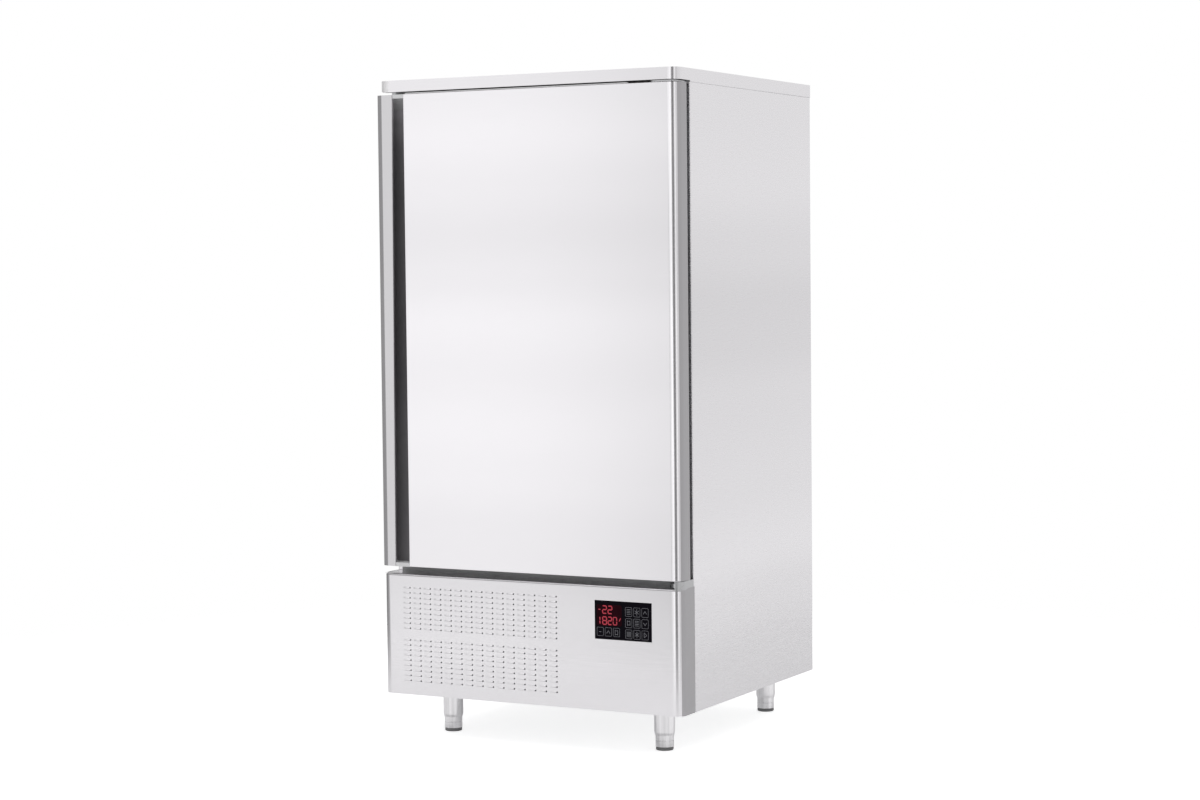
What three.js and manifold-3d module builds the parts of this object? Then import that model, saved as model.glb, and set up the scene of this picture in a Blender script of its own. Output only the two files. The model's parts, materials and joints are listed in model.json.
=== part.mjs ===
// Upright blast chiller: an insulated cabinet on four legs, with one full-height door, a perforated
// lower front panel that hides the cooling unit, and a fan wall behind the tray racks.
// Units are millimetres. +Z is up, the front faces -Y, the origin is on the floor under the middle.

import * as THREE from 'three';
import { mergeGeometries, mergeVertices } from 'three/addons/utils/BufferGeometryUtils.js';
import Module from 'manifold-3d';

const wasm = await Module();
wasm.setup();

// ---------------------------------------------------------------- driving dimensions

// The stack of heights, from the floor up
const LEG_HEIGHT = 104;
const PANEL_HEIGHT = 287;
const LOWER_GAP = 17;
const DOOR_HEIGHT = 1112;
const UPPER_GAP = 6;
const FASCIA_HEIGHT = 27;

// Cabinet
const WIDTH = 790;
const DEPTH = 736;
const SHEET = 1.5;
const FIT = 0.3;
const FRONT_BEND = 24;
const EDGE_BEND = 3;
const SIDE_FLANGE = 12;
const BACK_FLANGE = 20;
const COVER_SKIRT = 30;
const COVER_SEAM = 0.8;
const COVER_LEFT_BEND = 34;
const FASCIA_RETURN = 18;
const FASCIA_CORNER = 18;
const SIDE_FOAM = 58;
const BACK_FOAM = 58;
const FLOOR_FOAM = 55;
const CEILING_FOAM = 61;
const LINER_COVE = 18;
const SURROUND_SKIRT = 20;
const BASE_SHEET = 2;
const BASE_RIM = 25;

// Door
const DOOR_THICKNESS = 50;
const DOOR_GAP = 16;
const LINER_MARGIN = 2;
const LINER_PLUG = 12;
const PLUG_CLEARANCE = 14;
const PLUG_CORNER = 22;
const GASKET_WIDTH = 14;
const GASKET_INSET = 12;
const GASKET_SIDE_INSET = 19;
const GASKET_CORNER = 20;

// Grip along the door's left edge
const GRIP_WIDTH = 74.5;
const LIP_WIDTH = 39;
const LIP_SHEET = 2.5;
const LIP_HEM = 6;
const LIP_END_ROUND = 1.5;
const GRIP_BEND = 7;
const GRIP_DEPTH = 38;
const GRIP_CAP = 9;

// Hinges
const HINGE_INSET_X = 18;
const HINGE_INSET_Y = 24;
const PIN_RADIUS = 5;
const PIN_ENGAGEMENT = 26;
const BUSH_WALL = 3;
const BUSH_FLANGE = 3;
const BUSH_FLANGE_RADIUS = 11;
const UPPER_PLATE = 4;
const UPPER_PLATE_LEFT = 55;
const UPPER_PLATE_RIGHT = 11;
const UPPER_PLATE_FRONT = 22;
const UPPER_PLATE_CORNER = 14;
const LOWER_PLATE = 11;
const LOWER_PLATE_GAP = 2;
const LOWER_PLATE_HALF = 16;
const LOWER_PLATE_FRONT = 20;
const LOWER_PLATE_CORNER = 14;
const HINGE_FLANGE = 20;
const HINGE_FLANGE_SHEET = 3;

// Lower front panel and its slots
const PANEL_LEFT_BEND = 9;
const PANEL_SEAM = 1.2;
const PANEL_FLANGE = 20;
const SLOT_LENGTH = 20;
const SLOT_HEIGHT = 3.4;
const SLOT_PITCH_X = 28.3;
const SLOT_PITCH_Z = 12.05;
const SLOT_COLUMNS = 15;
const SLOT_ROWS = 9;
const FIELD_STEP = 124.4;
const FIELDS = 2;
const FIRST_SLOT_LEFT = 56;
const FIRST_SLOT_UP = 33.8;

// Control panel in the lower front panel
const CONTROL_WIDTH = 145;
const CONTROL_HEIGHT = 88;
const CONTROL_THICKNESS = 3;
const CONTROL_FROM_RIGHT = 74;
const CONTROL_UP = 164.5;
const CONTROL_BOX_DEPTH = 42;
const CONTROL_BOX_MARGIN = 8;

// Legs
const LEG_INSET_SIDE = 110;
const LEG_INSET_FRONT = 131;
const LEG_INSET_BACK = 45;
const SLEEVE_RADIUS = 24;
const SLEEVE_TAPER = 6;
const SLEEVE_TIP_RADIUS = 22.6;
const SLEEVE_TIP_HEIGHT = 35;
const LEG_PLATE = 3;
const LEG_PLATE_SIZE = 64;
const FOOT_RADIUS = 21.2;
const FOOT_IN_SLEEVE = 38;
const FOOT_TRAVEL_UP = 20;
const PAD_HEIGHT = 7;
const PAD_RADIUS = 20.5;

// Tray racks
const RACK_STAND_OFF = 28.9;
const RACK_TO_FAN_WALL = 30;
const RACK_SET_BACK = 9;
const RACK_RISE = 22;
const RACK_DROP = 22;
const LEDGE_WIDTH = 20;
const LEDGE_SHEET = 2;
const LEDGE_PITCH = 68;
const LEDGE_FIRST = 62;
const LEDGE_TOP_ROOM = 50;
const STUD_RADIUS = 7;
const RACK_WINDOW_MARGIN = 14;
const RACK_WINDOW_COLUMNS = 1;

// Fan wall and evaporator
const FAN_CHAMBER_DEPTH = 174.4;
const FAN_WALL_SIDE_GAP = 53.4;
const FAN_WALL_RISE = 55;
const FAN_WALL_DROP = 55;
const EVAPORATOR_FAN_RADIUS = 140;
const EVAPORATOR_FAN_SPREAD = 200;
const EVAPORATOR_COIL_INSET = 30;
const EVAPORATOR_COIL_DEPTH = 72;
const EVAPORATOR_COIL_MARGIN = 24;
const EVAPORATOR_FINS = 22;
const CONDENSER_FINS = 20;
const FIN_SHEET = 9;
const COIL_PLATE = 11;
const GUARD_WIRE = 4;
const GUARD_RINGS = 3;
const GUARD_STEPS = 12;
const GUARD_STAND_OFF = 16;
const GUARD_OVERLAP = 4;
const BLADE_COUNT = 5;
const BLADE_SHEET = 1.6;
const BLADE_PITCH_DEG = 24;
const HUB_SHARE = 0.26;
const HUB_DEPTH_SHARE = 0.19;
const WHEEL_GAP = 3;
const FAN_HOLE_CLEARANCE = 8;
const MOTOR_DEPTH = 42;
const MOTOR_RADIUS = 38;
const MOTOR_ARM = 5;
const MOTOR_ARM_OVERLAP = 14;

// Cooling unit under the cabinet
const CONDENSER_WIDTH = 410;
const CONDENSER_HEADROOM = 49;
const CONDENSER_DEPTH = 54;
const CONDENSER_FROM_LEFT = 50;
const CONDENSER_SET_BACK = 76;
const SHROUD_DEPTH = 46;
const CONDENSER_FAN_RADIUS = 96;
const COMPRESSOR_RADIUS = 88;
const COMPRESSOR_HEIGHT = 214;
const COMPRESSOR_FROM_RIGHT = 190;
const COMPRESSOR_FROM_BACK = 210;
const COMPRESSOR_LIFT = 12;
const COMPRESSOR_BOWL = 50;
const COMPRESSOR_SEAM_SHARE = 1.04;
const COMPRESSOR_PORT_SHARE = 0.58;
const FOOT_PLATE = 4;
const FOOT_PLATE_SINK = 2;
const GROMMET_RADIUS = 9;
const RECEIVER_RADIUS = 42;
const RECEIVER_HEIGHT = 190;
const RECEIVER_FROM_LEFT = 150;
const RECEIVER_FROM_BACK = 150;
const RECEIVER_LIFT = 8;
const RECEIVER_DOME = 18;
const RECEIVER_RING = 30;
const PIPE_RADIUS = 5;
const PIPE_LEAD = 34;
const PIPE_BEND = 30;
const ELECTRIC_BOX_WIDTH = 150;
const ELECTRIC_BOX_DEPTH = 96;
const ELECTRIC_BOX_HEIGHT = 120;
const ELECTRIC_BOX_FROM_RIGHT = 40;
const ELECTRIC_BOX_SET_BACK = 84;
const ELECTRIC_LID_LIP = 3;
const ELECTRIC_LID_SKIRT = 12;
const ELECTRIC_LID_RISE = 2;
const REAR_SLOT_LENGTH = 150;
const REAR_SLOT_HEIGHT = 8;
const REAR_SLOT_PITCH = 22;
const REAR_SLOT_ROWS = 8;
const REAR_SLOT_COLUMNS = 3;
const GLAND_RADIUS = 14;
const GLAND_HEIGHT = 22;
const GLAND_BORE = 6;
const GLAND_FROM_RIGHT = 200;
const GLAND_FROM_BACK = 50;

// ---------------------------------------------------------------- planes worked out from them

const LEFT = -WIDTH / 2;
const RIGHT = WIDTH / 2;
const FRONT = -DEPTH / 2;
const BACK = DEPTH / 2;
const CARCASS = FRONT + DOOR_THICKNESS + DOOR_GAP;
const PANEL_BACK = CARCASS + EDGE_BEND - PANEL_SEAM;
const BODY_BOTTOM = LEG_HEIGHT;
const PANEL_TOP = BODY_BOTTOM + PANEL_HEIGHT;
const DOOR_BOTTOM = PANEL_TOP + LOWER_GAP;
const DOOR_TOP = DOOR_BOTTOM + DOOR_HEIGHT;
const FASCIA_BOTTOM = DOOR_TOP + UPPER_GAP;
const TOP = FASCIA_BOTTOM + FASCIA_HEIGHT;
const SIDE_TOP = TOP - COVER_SKIRT - COVER_SEAM;
const DECK = PANEL_TOP + FIT;
const SKIN = SHEET + FIT;

const CABIN_HALF = RIGHT - SKIN - SIDE_FOAM - SKIN;
const CABIN_BACK = BACK - SKIN - BACK_FOAM - SKIN;
const CABIN_FLOOR = DECK + SKIN + FLOOR_FOAM + SKIN;
const CABIN_CEILING = TOP - SKIN - CEILING_FOAM - SKIN;
const CABIN_FRONT = CARCASS + SKIN;
const FAN_WALL_FRONT = CABIN_BACK - FAN_CHAMBER_DEPTH;

const HINGE_X = RIGHT - HINGE_INSET_X;
const HINGE_Y = FRONT + HINGE_INSET_Y;

const BEND_STEPS = 5;
const COVE_STEPS = 3;
const ROUND_STEPS = 16;
const WELD_DISTANCE = 1e-4;
const OVERCUT = 5;

// ---------------------------------------------------------------- closed solids from three.js shapes

function signedVolume(points, corners) {
  const a = new THREE.Vector3();
  const b = new THREE.Vector3();
  const c = new THREE.Vector3();
  let total = 0;
  for (let i = 0; i < corners.length; i += 3) {
    a.fromArray(points, 3 * corners[i]);
    b.fromArray(points, 3 * corners[i + 1]);
    c.fromArray(points, 3 * corners[i + 2]);
    total += a.dot(b.cross(c)) / 6;
  }
  return total;
}

function solidOf(geometry) {
  const bare = geometry.index ? geometry.toNonIndexed() : geometry.clone();
  for (const name of Object.keys(bare.attributes)) {
    if (name !== 'position') bare.deleteAttribute(name);
  }
  const welded = mergeVertices(bare, WELD_DISTANCE);
  const index = welded.index.array;
  const corners = [];
  for (let i = 0; i < index.length; i += 3) {
    const [a, b, c] = [index[i], index[i + 1], index[i + 2]];
    if (a !== b && b !== c && c !== a) corners.push(a, b, c);
  }
  const points = new Float32Array(welded.attributes.position.array);
  if (signedVolume(points, corners) < 0) corners.reverse();
  const mesh = new wasm.Mesh({ numProp: 3, vertProperties: points, triVerts: Uint32Array.from(corners) });
  return new wasm.Manifold(mesh);
}

function geometryOf(solid) {
  const mesh = solid.getMesh();
  const geometry = new THREE.BufferGeometry();
  geometry.setAttribute('position', new THREE.BufferAttribute(Float32Array.from(mesh.vertProperties), 3));
  geometry.setIndex(new THREE.BufferAttribute(Uint32Array.from(mesh.triVerts), 1));
  geometry.computeVertexNormals();
  return geometry;
}

function join(...solids) {
  return solids.reduce((sum, solid) => sum.add(solid));
}

function cut(body, ...tools) {
  return tools.reduce((rest, tool) => rest.subtract(tool), body);
}

function boxGeometry(low, high) {
  const size = high.map((value, i) => value - low[i]);
  const middle = high.map((value, i) => (value + low[i]) / 2);
  return new THREE.BoxGeometry(...size).translate(...middle);
}

function box(low, high) {
  return solidOf(boxGeometry(low, high));
}

// Many separate boxes as one solid, so that one cut takes them all
function boxes(list) {
  return solidOf(mergeGeometries(list.map(([low, high]) => boxGeometry(low, high))));
}

function extrude(outline, depth) {
  const shape = new THREE.Shape(outline.map(([x, y]) => new THREE.Vector2(x, y)));
  return new THREE.ExtrudeGeometry(shape, { depth, bevelEnabled: false });
}

// An outline in X and Y, standing from z0 to z1
function prismZ(outline, z0, z1) {
  return solidOf(extrude(outline, z1 - z0).translate(0, 0, z0));
}

// An outline in X and Z, running from y0 to y1
function prismY(outline, y0, y1) {
  const turn = new THREE.Matrix4().makeBasis(
    new THREE.Vector3(0, 0, 1), new THREE.Vector3(1, 0, 0), new THREE.Vector3(0, 1, 0));
  const swapped = outline.map(([x, z]) => [z, x]);
  return solidOf(extrude(swapped, y1 - y0).applyMatrix4(turn).translate(0, y0, 0));
}

// An outline in Y and Z, running from x0 to x1
function prismX(outline, x0, x1) {
  const turn = new THREE.Matrix4().makeBasis(
    new THREE.Vector3(0, 1, 0), new THREE.Vector3(0, 0, 1), new THREE.Vector3(1, 0, 0));
  return solidOf(extrude(outline, x1 - x0).applyMatrix4(turn).translate(x0, 0, 0));
}

// A profile of [radius, height] pairs turned about an upright axis
function turned(profile, [x, y, z], steps = ROUND_STEPS) {
  const points = profile.map(([radius, height]) => new THREE.Vector2(radius, height));
  const geometry = new THREE.LatheGeometry(points, steps).rotateX(Math.PI / 2);
  return solidOf(geometry.translate(x, y, z));
}

// A profile of [radius, distance] pairs turned about an axis along +Y
function turnedY(profile, [x, y, z], steps = ROUND_STEPS) {
  const points = profile.map(([radius, along]) => new THREE.Vector2(radius, along));
  return solidOf(new THREE.LatheGeometry(points, steps).translate(x, y, z));
}

function cylinder(radius, centre, height, steps = ROUND_STEPS) {
  return turned([[0, 0], [radius, 0], [radius, height], [0, height]], centre, steps);
}

function cylinderY(radius, centre, length, steps = ROUND_STEPS) {
  return turnedY([[0, 0], [radius, 0], [radius, length], [0, length]], centre, steps);
}

// ---------------------------------------------------------------- outlines

// Rounds the corners of a path of [x, y, radius] points; a point without a radius stays sharp
function rounded(path, steps, closed = true) {
  const result = [];
  path.forEach(([x, y, radius = 0], i) => {
    const isEnd = !closed && (i === 0 || i === path.length - 1);
    if (isEnd || radius <= 0) {
      result.push([x, y]);
      return;
    }
    const corner = new THREE.Vector2(x, y);
    const before = new THREE.Vector2(...path[(i + path.length - 1) % path.length]).sub(corner).normalize();
    const after = new THREE.Vector2(...path[(i + 1) % path.length]).sub(corner).normalize();
    const half = Math.acos(THREE.MathUtils.clamp(before.dot(after), -1, 1)) / 2;
    const toCentre = before.clone().add(after).normalize().multiplyScalar(radius / Math.sin(half));
    const centre = corner.clone().add(toCentre);
    const first = corner.clone().addScaledVector(before, radius / Math.tan(half)).sub(centre);
    const turn = Math.PI - 2 * half;
    const way = Math.sign(after.cross(before));
    for (let step = 0; step <= steps; step += 1) {
      const spoke = first.clone().rotateAround(new THREE.Vector2(), way * turn * step / steps);
      result.push([centre.x + spoke.x, centre.y + spoke.y]);
    }
  });
  return result;
}

function roundedRectangle(x0, x1, y0, y1, radius, steps = COVE_STEPS) {
  return rounded([[x0, y0, radius], [x1, y0, radius], [x1, y1, radius], [x0, y1, radius]], steps);
}

// The section of a folded sheet: the path is one face, the sheet lies to the left of it
function sheetSection(path, thickness, steps) {
  const offset = path.map(([x, y, radius = 0], i) => {
    const here = new THREE.Vector2(x, y);
    const next = new THREE.Vector2(...path[Math.min(i + 1, path.length - 1)]);
    const last = new THREE.Vector2(...path[Math.max(i - 1, 0)]);
    const out = i < path.length - 1 ? next.sub(here).normalize() : here.clone().sub(last).normalize();
    const into = i > 0 ? here.clone().sub(last).normalize() : out;
    const normals = new THREE.Vector2(-out.y - into.y, out.x + into.x);
    const shift = normals.multiplyScalar(thickness / (1 + out.dot(into)));
    const bendsLeft = into.cross(out) > 0;
    const inner = radius > 0 ? Math.max(radius + (bendsLeft ? -thickness : thickness), 0) : 0;
    return [x + shift.x, y + shift.y, inner];
  });
  return [...rounded(path, steps, false), ...rounded(offset, steps, false).reverse()];
}

function mirrored(outline) {
  return outline.map(([x, ...rest]) => [-x, ...rest]);
}

// The plan outline of a front that is as wide as the cabinet and has both upright edges bent
function frontPlan(inset, back, leftBend = FRONT_BEND) {
  return rounded([
    [LEFT + inset, back], [LEFT + inset, FRONT + inset, leftBend - inset],
    [RIGHT - inset, FRONT + inset, FRONT_BEND - inset], [RIGHT - inset, back],
  ], BEND_STEPS);
}

// ---------------------------------------------------------------- the group

const blastChiller = new THREE.Group();
blastChiller.name = 'blast_chiller';

const FINISHES = {
  steel: { color: 0xc9cacc, roughness: 0.34, metalness: 0.9 },
  linerSteel: { color: 0xbfc1c3, roughness: 0.28, metalness: 0.9 },
  zinc: { color: 0xa9adb0, roughness: 0.5, metalness: 0.7 },
  aluminium: { color: 0xb9bdc0, roughness: 0.4, metalness: 0.85 },
  castGrey: { color: 0x8d9093, roughness: 0.5, metalness: 0.6 },
  blackGlass: { color: 0x0c0a0f, roughness: 0.12, metalness: 0 },
  blackPlastic: { color: 0x26272a, roughness: 0.6, metalness: 0 },
  greyPlastic: { color: 0x55585c, roughness: 0.6, metalness: 0 },
  rubber: { color: 0x4a4c4f, roughness: 0.85, metalness: 0 },
  foam: { color: 0xd8c896, roughness: 0.95, metalness: 0 },
  blackPaint: { color: 0x17181a, roughness: 0.45, metalness: 0.2 },
  copper: { color: 0xb06a45, roughness: 0.35, metalness: 0.95 },
};

function place(name, solid, finish) {
  const mesh = new THREE.Mesh(geometryOf(solid), new THREE.MeshStandardMaterial(FINISHES[finish]));
  mesh.name = name;
  blastChiller.add(mesh);
}

// ---------------------------------------------------------------- cabinet shell

function rightSideSection() {
  return sheetSection([
    [RIGHT - SIDE_FLANGE, CARCASS], [RIGHT, CARCASS, EDGE_BEND],
    [RIGHT, BACK, EDGE_BEND], [RIGHT - BACK_FLANGE, BACK],
  ], SHEET, 2);
}

function sidePanel(section) {
  const sheet = prismZ(section, BODY_BOTTOM, SIDE_TOP);
  const forPanel = box(
    [LEFT - OVERCUT, CARCASS - OVERCUT, BODY_BOTTOM - OVERCUT],
    [RIGHT + OVERCUT, PANEL_BACK + PANEL_SEAM, PANEL_TOP + FIT]);
  return cut(sheet, forPanel);
}

function backPanel() {
  const half = RIGHT - BACK_FLANGE - FIT;
  return box([-half, BACK - SHEET, DECK], [half, BACK, SIDE_TOP]);
}

function rearVentPanel() {
  const half = RIGHT - BACK_FLANGE - FIT;
  const sheet = box([-half, BACK - SHEET, BODY_BOTTOM + BASE_RIM + FIT], [half, BACK, DECK - FIT]);
  const columnPitch = 2 * half / REAR_SLOT_COLUMNS;
  const low = (BODY_BOTTOM + BASE_RIM + DECK - REAR_SLOT_PITCH * (REAR_SLOT_ROWS - 1)) / 2;
  const slots = [];
  for (let column = 0; column < REAR_SLOT_COLUMNS; column += 1) {
    const x = -half + columnPitch * (column + 0.5);
    for (let row = 0; row < REAR_SLOT_ROWS; row += 1) {
      const z = low + row * REAR_SLOT_PITCH;
      slots.push([
        [x - REAR_SLOT_LENGTH / 2, BACK - SHEET - OVERCUT, z - REAR_SLOT_HEIGHT / 2],
        [x + REAR_SLOT_LENGTH / 2, BACK + OVERCUT, z + REAR_SLOT_HEIGHT / 2],
      ]);
    }
  }
  return cut(sheet, boxes(slots));
}

// The rounded lower corner at the fascia's left end, as the piece that is cut away
function fasciaCorner() {
  const [x, z] = [LEFT + FASCIA_CORNER, FASCIA_BOTTOM + FASCIA_CORNER];
  const block = box([LEFT - OVERCUT, FRONT - OVERCUT, FASCIA_BOTTOM - OVERCUT], [x, CARCASS, z]);
  const round = cylinderY(FASCIA_CORNER, [x, FRONT - 2 * OVERCUT, z], DEPTH, 2 * ROUND_STEPS);
  return cut(block, round);
}

function topCover() {
  const bottom = TOP - COVER_SKIRT;
  const shell = prismZ(frontPlan(0, BACK, COVER_LEFT_BEND), bottom, TOP);
  const inside = frontPlan(SHEET, BACK - SHEET, COVER_LEFT_BEND);
  const behindFascia = prismZ(inside, FASCIA_BOTTOM + SHEET, TOP - SHEET);
  const returnStrip = box(
    [LEFT - OVERCUT, FRONT - OVERCUT, bottom - 2 * OVERCUT], [RIGHT + OVERCUT, FRONT + FASCIA_RETURN, TOP]);
  const behindReturn = cut(prismZ(inside, bottom - OVERCUT, TOP - SHEET), returnStrip);
  const overDoor = box(
    [LEFT - OVERCUT, FRONT - OVERCUT, bottom - OVERCUT], [RIGHT + OVERCUT, CARCASS, FASCIA_BOTTOM]);
  return cut(shell, behindFascia, behindReturn, overDoor, fasciaCorner());
}

// The plan of what fits inside the side panels, its corners clear of their bends
function insidePlan(front, frontCorner) {
  const half = RIGHT - SKIN;
  const corner = EDGE_BEND - SKIN;
  return rounded([
    [-half, front, frontCorner], [half, front, frontCorner],
    [half, BACK - SKIN, corner], [-half, BACK - SKIN, corner],
  ], 2);
}

function basePan() {
  const half = RIGHT - SKIN;
  const front = FRONT + PANEL_FLANGE + FIT;
  const back = BACK - SKIN;
  const pan = prismZ(insidePlan(front, 0), BODY_BOTTOM, BODY_BOTTOM + BASE_RIM);
  const inside = box(
    [-half + BASE_SHEET, front + BASE_SHEET, BODY_BOTTOM + BASE_SHEET],
    [half - BASE_SHEET, back - BASE_SHEET, BODY_BOTTOM + BASE_RIM + OVERCUT]);
  return cut(pan, inside);
}

function deckPlate() {
  return prismZ(insidePlan(CABIN_FRONT, EDGE_BEND - SKIN), DECK, DECK + SHEET);
}

function cabinSection(grow) {
  return roundedRectangle(
    -CABIN_HALF - grow, CABIN_HALF + grow, CABIN_FLOOR - grow, CABIN_CEILING + grow, LINER_COVE + grow);
}

function insulation() {
  const block = prismZ(insidePlan(CABIN_FRONT, EDGE_BEND - SKIN), DECK + SKIN, TOP - SKIN);
  return cut(block, prismY(cabinSection(SKIN), CABIN_FRONT - OVERCUT, CABIN_BACK + SKIN));
}

function innerLiner() {
  const outside = prismY(cabinSection(SHEET), CABIN_FRONT, CABIN_BACK + SHEET);
  return cut(outside, prismY(cabinSection(0), CABIN_FRONT - OVERCUT, CABIN_BACK));
}

// The frame that the door's seal meets, with a skirt that closes the machine space behind the lower gap
function frontSurround() {
  const half = RIGHT - SIDE_FLANGE - FIT;
  const frame = box([-half, CARCASS, DECK - SURROUND_SKIRT], [half, CARCASS + SHEET, TOP - SKIN]);
  return cut(frame, prismY(cabinSection(0), CARCASS - OVERCUT, CARCASS + SHEET + OVERCUT));
}

// ---------------------------------------------------------------- lower front panel

function slotField() {
  const slots = [];
  for (let field = 0; field < FIELDS; field += 1) {
    for (let row = 0; row < SLOT_ROWS; row += 1) {
      const z = BODY_BOTTOM + FIRST_SLOT_UP + field * FIELD_STEP + row * SLOT_PITCH_Z;
      for (let column = 0; column < SLOT_COLUMNS; column += 1) {
        const x = LEFT + FIRST_SLOT_LEFT + column * SLOT_PITCH_X;
        slots.push([
          [x, FRONT - OVERCUT, z - SLOT_HEIGHT / 2],
          [x + SLOT_LENGTH, FRONT + SHEET + OVERCUT, z + SLOT_HEIGHT / 2],
        ]);
      }
    }
  }
  return boxes(slots);
}

const CONTROL_RIGHT = RIGHT - CONTROL_FROM_RIGHT;
const CONTROL_LEFT = CONTROL_RIGHT - CONTROL_WIDTH;
const CONTROL_BOTTOM = BODY_BOTTOM + CONTROL_UP;
const CONTROL_TOP = CONTROL_BOTTOM + CONTROL_HEIGHT;

function lowerFrontPanel() {
  const plan = (inset, back) => frontPlan(inset, back, PANEL_LEFT_BEND);
  const shell = prismZ(plan(0, PANEL_BACK), BODY_BOTTOM, PANEL_TOP);
  const inside = prismZ(plan(SHEET, PANEL_BACK + OVERCUT), BODY_BOTTOM + SHEET, PANEL_TOP - SHEET);
  const behindFlanges = box(
    [LEFT + SHEET, FRONT + PANEL_FLANGE, BODY_BOTTOM - OVERCUT],
    [RIGHT - SHEET, PANEL_BACK + OVERCUT, PANEL_TOP + OVERCUT]);
  const window = box(
    [CONTROL_LEFT - FIT, FRONT - OVERCUT, CONTROL_BOTTOM - FIT],
    [CONTROL_RIGHT + FIT, FRONT + SHEET + OVERCUT, CONTROL_TOP + FIT]);
  return cut(shell, inside, behindFlanges, window, slotField());
}

function controlPanel() {
  return box([CONTROL_LEFT, FRONT, CONTROL_BOTTOM], [CONTROL_RIGHT, FRONT + CONTROL_THICKNESS, CONTROL_TOP]);
}

function controlBox() {
  const front = FRONT + CONTROL_THICKNESS + FIT;
  return box(
    [CONTROL_LEFT - CONTROL_BOX_MARGIN, front, CONTROL_BOTTOM - CONTROL_BOX_MARGIN],
    [CONTROL_RIGHT + CONTROL_BOX_MARGIN, front + CONTROL_BOX_DEPTH, CONTROL_TOP + CONTROL_BOX_MARGIN]);
}

// ---------------------------------------------------------------- door

const GRIP_RIGHT = LEFT + GRIP_WIDTH;
const SKIN_LEFT = GRIP_RIGHT + FIT;
const DOOR_BACK = FRONT + DOOR_THICKNESS;
const LINER_FRONT = DOOR_BACK - SHEET;
const POCKET_RADIUS = PIN_RADIUS + BUSH_WALL + 2 * FIT;

function doorPlan(inset, back) {
  return rounded([
    [SKIN_LEFT + inset, back], [SKIN_LEFT + inset, FRONT + inset],
    [RIGHT - inset, FRONT + inset, FRONT_BEND - inset], [RIGHT - inset, back],
  ], BEND_STEPS);
}

function hingePocket(low, high) {
  return cylinder(POCKET_RADIUS, [HINGE_X, HINGE_Y, low], high - low);
}

function doorSkin() {
  const back = LINER_FRONT - FIT;
  const shell = prismZ(doorPlan(0, back), DOOR_BOTTOM, DOOR_TOP);
  const inside = prismZ(doorPlan(SHEET, back + OVERCUT), DOOR_BOTTOM + SHEET, DOOR_TOP - SHEET);
  return cut(shell, inside, hingePocket(DOOR_BOTTOM - OVERCUT, DOOR_TOP + OVERCUT));
}

function doorInsulation() {
  const back = LINER_FRONT - FIT;
  const block = prismZ(doorPlan(SKIN, back), DOOR_BOTTOM + SKIN, DOOR_TOP - SKIN);
  const pocketDepth = PIN_ENGAGEMENT + BUSH_FLANGE + 2 * FIT;
  const lower = hingePocket(DOOR_BOTTOM - OVERCUT, DOOR_BOTTOM + pocketDepth);
  const upper = hingePocket(DOOR_TOP - pocketDepth, DOOR_TOP + OVERCUT);
  return cut(block, lower, upper);
}

function doorLiner() {
  const plate = box(
    [LEFT + LINER_MARGIN, LINER_FRONT, DOOR_BOTTOM + LINER_MARGIN],
    [RIGHT - LINER_MARGIN, DOOR_BACK, DOOR_TOP - LINER_MARGIN]);
  const half = CABIN_HALF - PLUG_CLEARANCE;
  const low = CABIN_FLOOR + PLUG_CLEARANCE;
  const high = CABIN_CEILING - PLUG_CLEARANCE;
  const outer = roundedRectangle(-half, half, low, high, PLUG_CORNER);
  const inner = roundedRectangle(
    -half + SHEET, half - SHEET, low + SHEET, high - SHEET, PLUG_CORNER - SHEET);
  const plug = prismY(outer, LINER_FRONT, DOOR_BACK + LINER_PLUG);
  const hollow = prismY(inner, LINER_FRONT - OVERCUT, DOOR_BACK + LINER_PLUG - SHEET);
  return cut(join(plate, plug), hollow);
}

function doorGasket() {
  const half = RIGHT - GASKET_SIDE_INSET;
  const low = DOOR_BOTTOM + GASKET_INSET;
  const high = DOOR_TOP - GASKET_INSET;
  const outer = roundedRectangle(-half, half, low, high, GASKET_CORNER);
  const inner = roundedRectangle(
    -half + GASKET_WIDTH, half - GASKET_WIDTH, low + GASKET_WIDTH, high - GASKET_WIDTH,
    GASKET_CORNER - GASKET_WIDTH, 2);
  const [front, back] = [DOOR_BACK + FIT, CARCASS - FIT];
  return cut(prismY(outer, front, back), prismY(inner, front - OVERCUT, back + OVERCUT));
}

// One extruded section: front lip with a hem, side wall, channel floor and a short back leg
function gripSection() {
  const floor = FRONT + GRIP_DEPTH;
  const back = LINER_FRONT - FIT;
  const wall = LEFT + LIP_SHEET;
  const lipEnd = LEFT + LIP_WIDTH;
  return rounded([
    [LEFT, back], [LEFT, FRONT, GRIP_BEND], [lipEnd, FRONT, LIP_END_ROUND], [lipEnd, FRONT + LIP_HEM],
    [lipEnd - LIP_SHEET, FRONT + LIP_HEM], [lipEnd - LIP_SHEET, FRONT + LIP_SHEET],
    [wall, FRONT + LIP_SHEET, GRIP_BEND - LIP_SHEET], [wall, floor, EDGE_BEND],
    [GRIP_RIGHT, floor], [GRIP_RIGHT, back],
    [GRIP_RIGHT - LIP_SHEET, back], [GRIP_RIGHT - LIP_SHEET, floor + LIP_SHEET],
    [wall, floor + LIP_SHEET], [wall, back],
  ], 2);
}

function gripProfile() {
  return prismZ(gripSection(), DOOR_BOTTOM + GRIP_CAP + FIT, DOOR_TOP - GRIP_CAP - FIT);
}

function gripCap(low) {
  const plan = rounded([
    [LEFT, FRONT, GRIP_BEND], [GRIP_RIGHT, FRONT], [GRIP_RIGHT, LINER_FRONT - FIT],
    [LEFT, LINER_FRONT - FIT],
  ], 2);
  return prismZ(plan, low, low + GRIP_CAP);
}

// ---------------------------------------------------------------- hinges

const BUSH_BORE = PIN_RADIUS + FIT;
const BUSH_RADIUS = PIN_RADIUS + FIT + BUSH_WALL;

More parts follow.
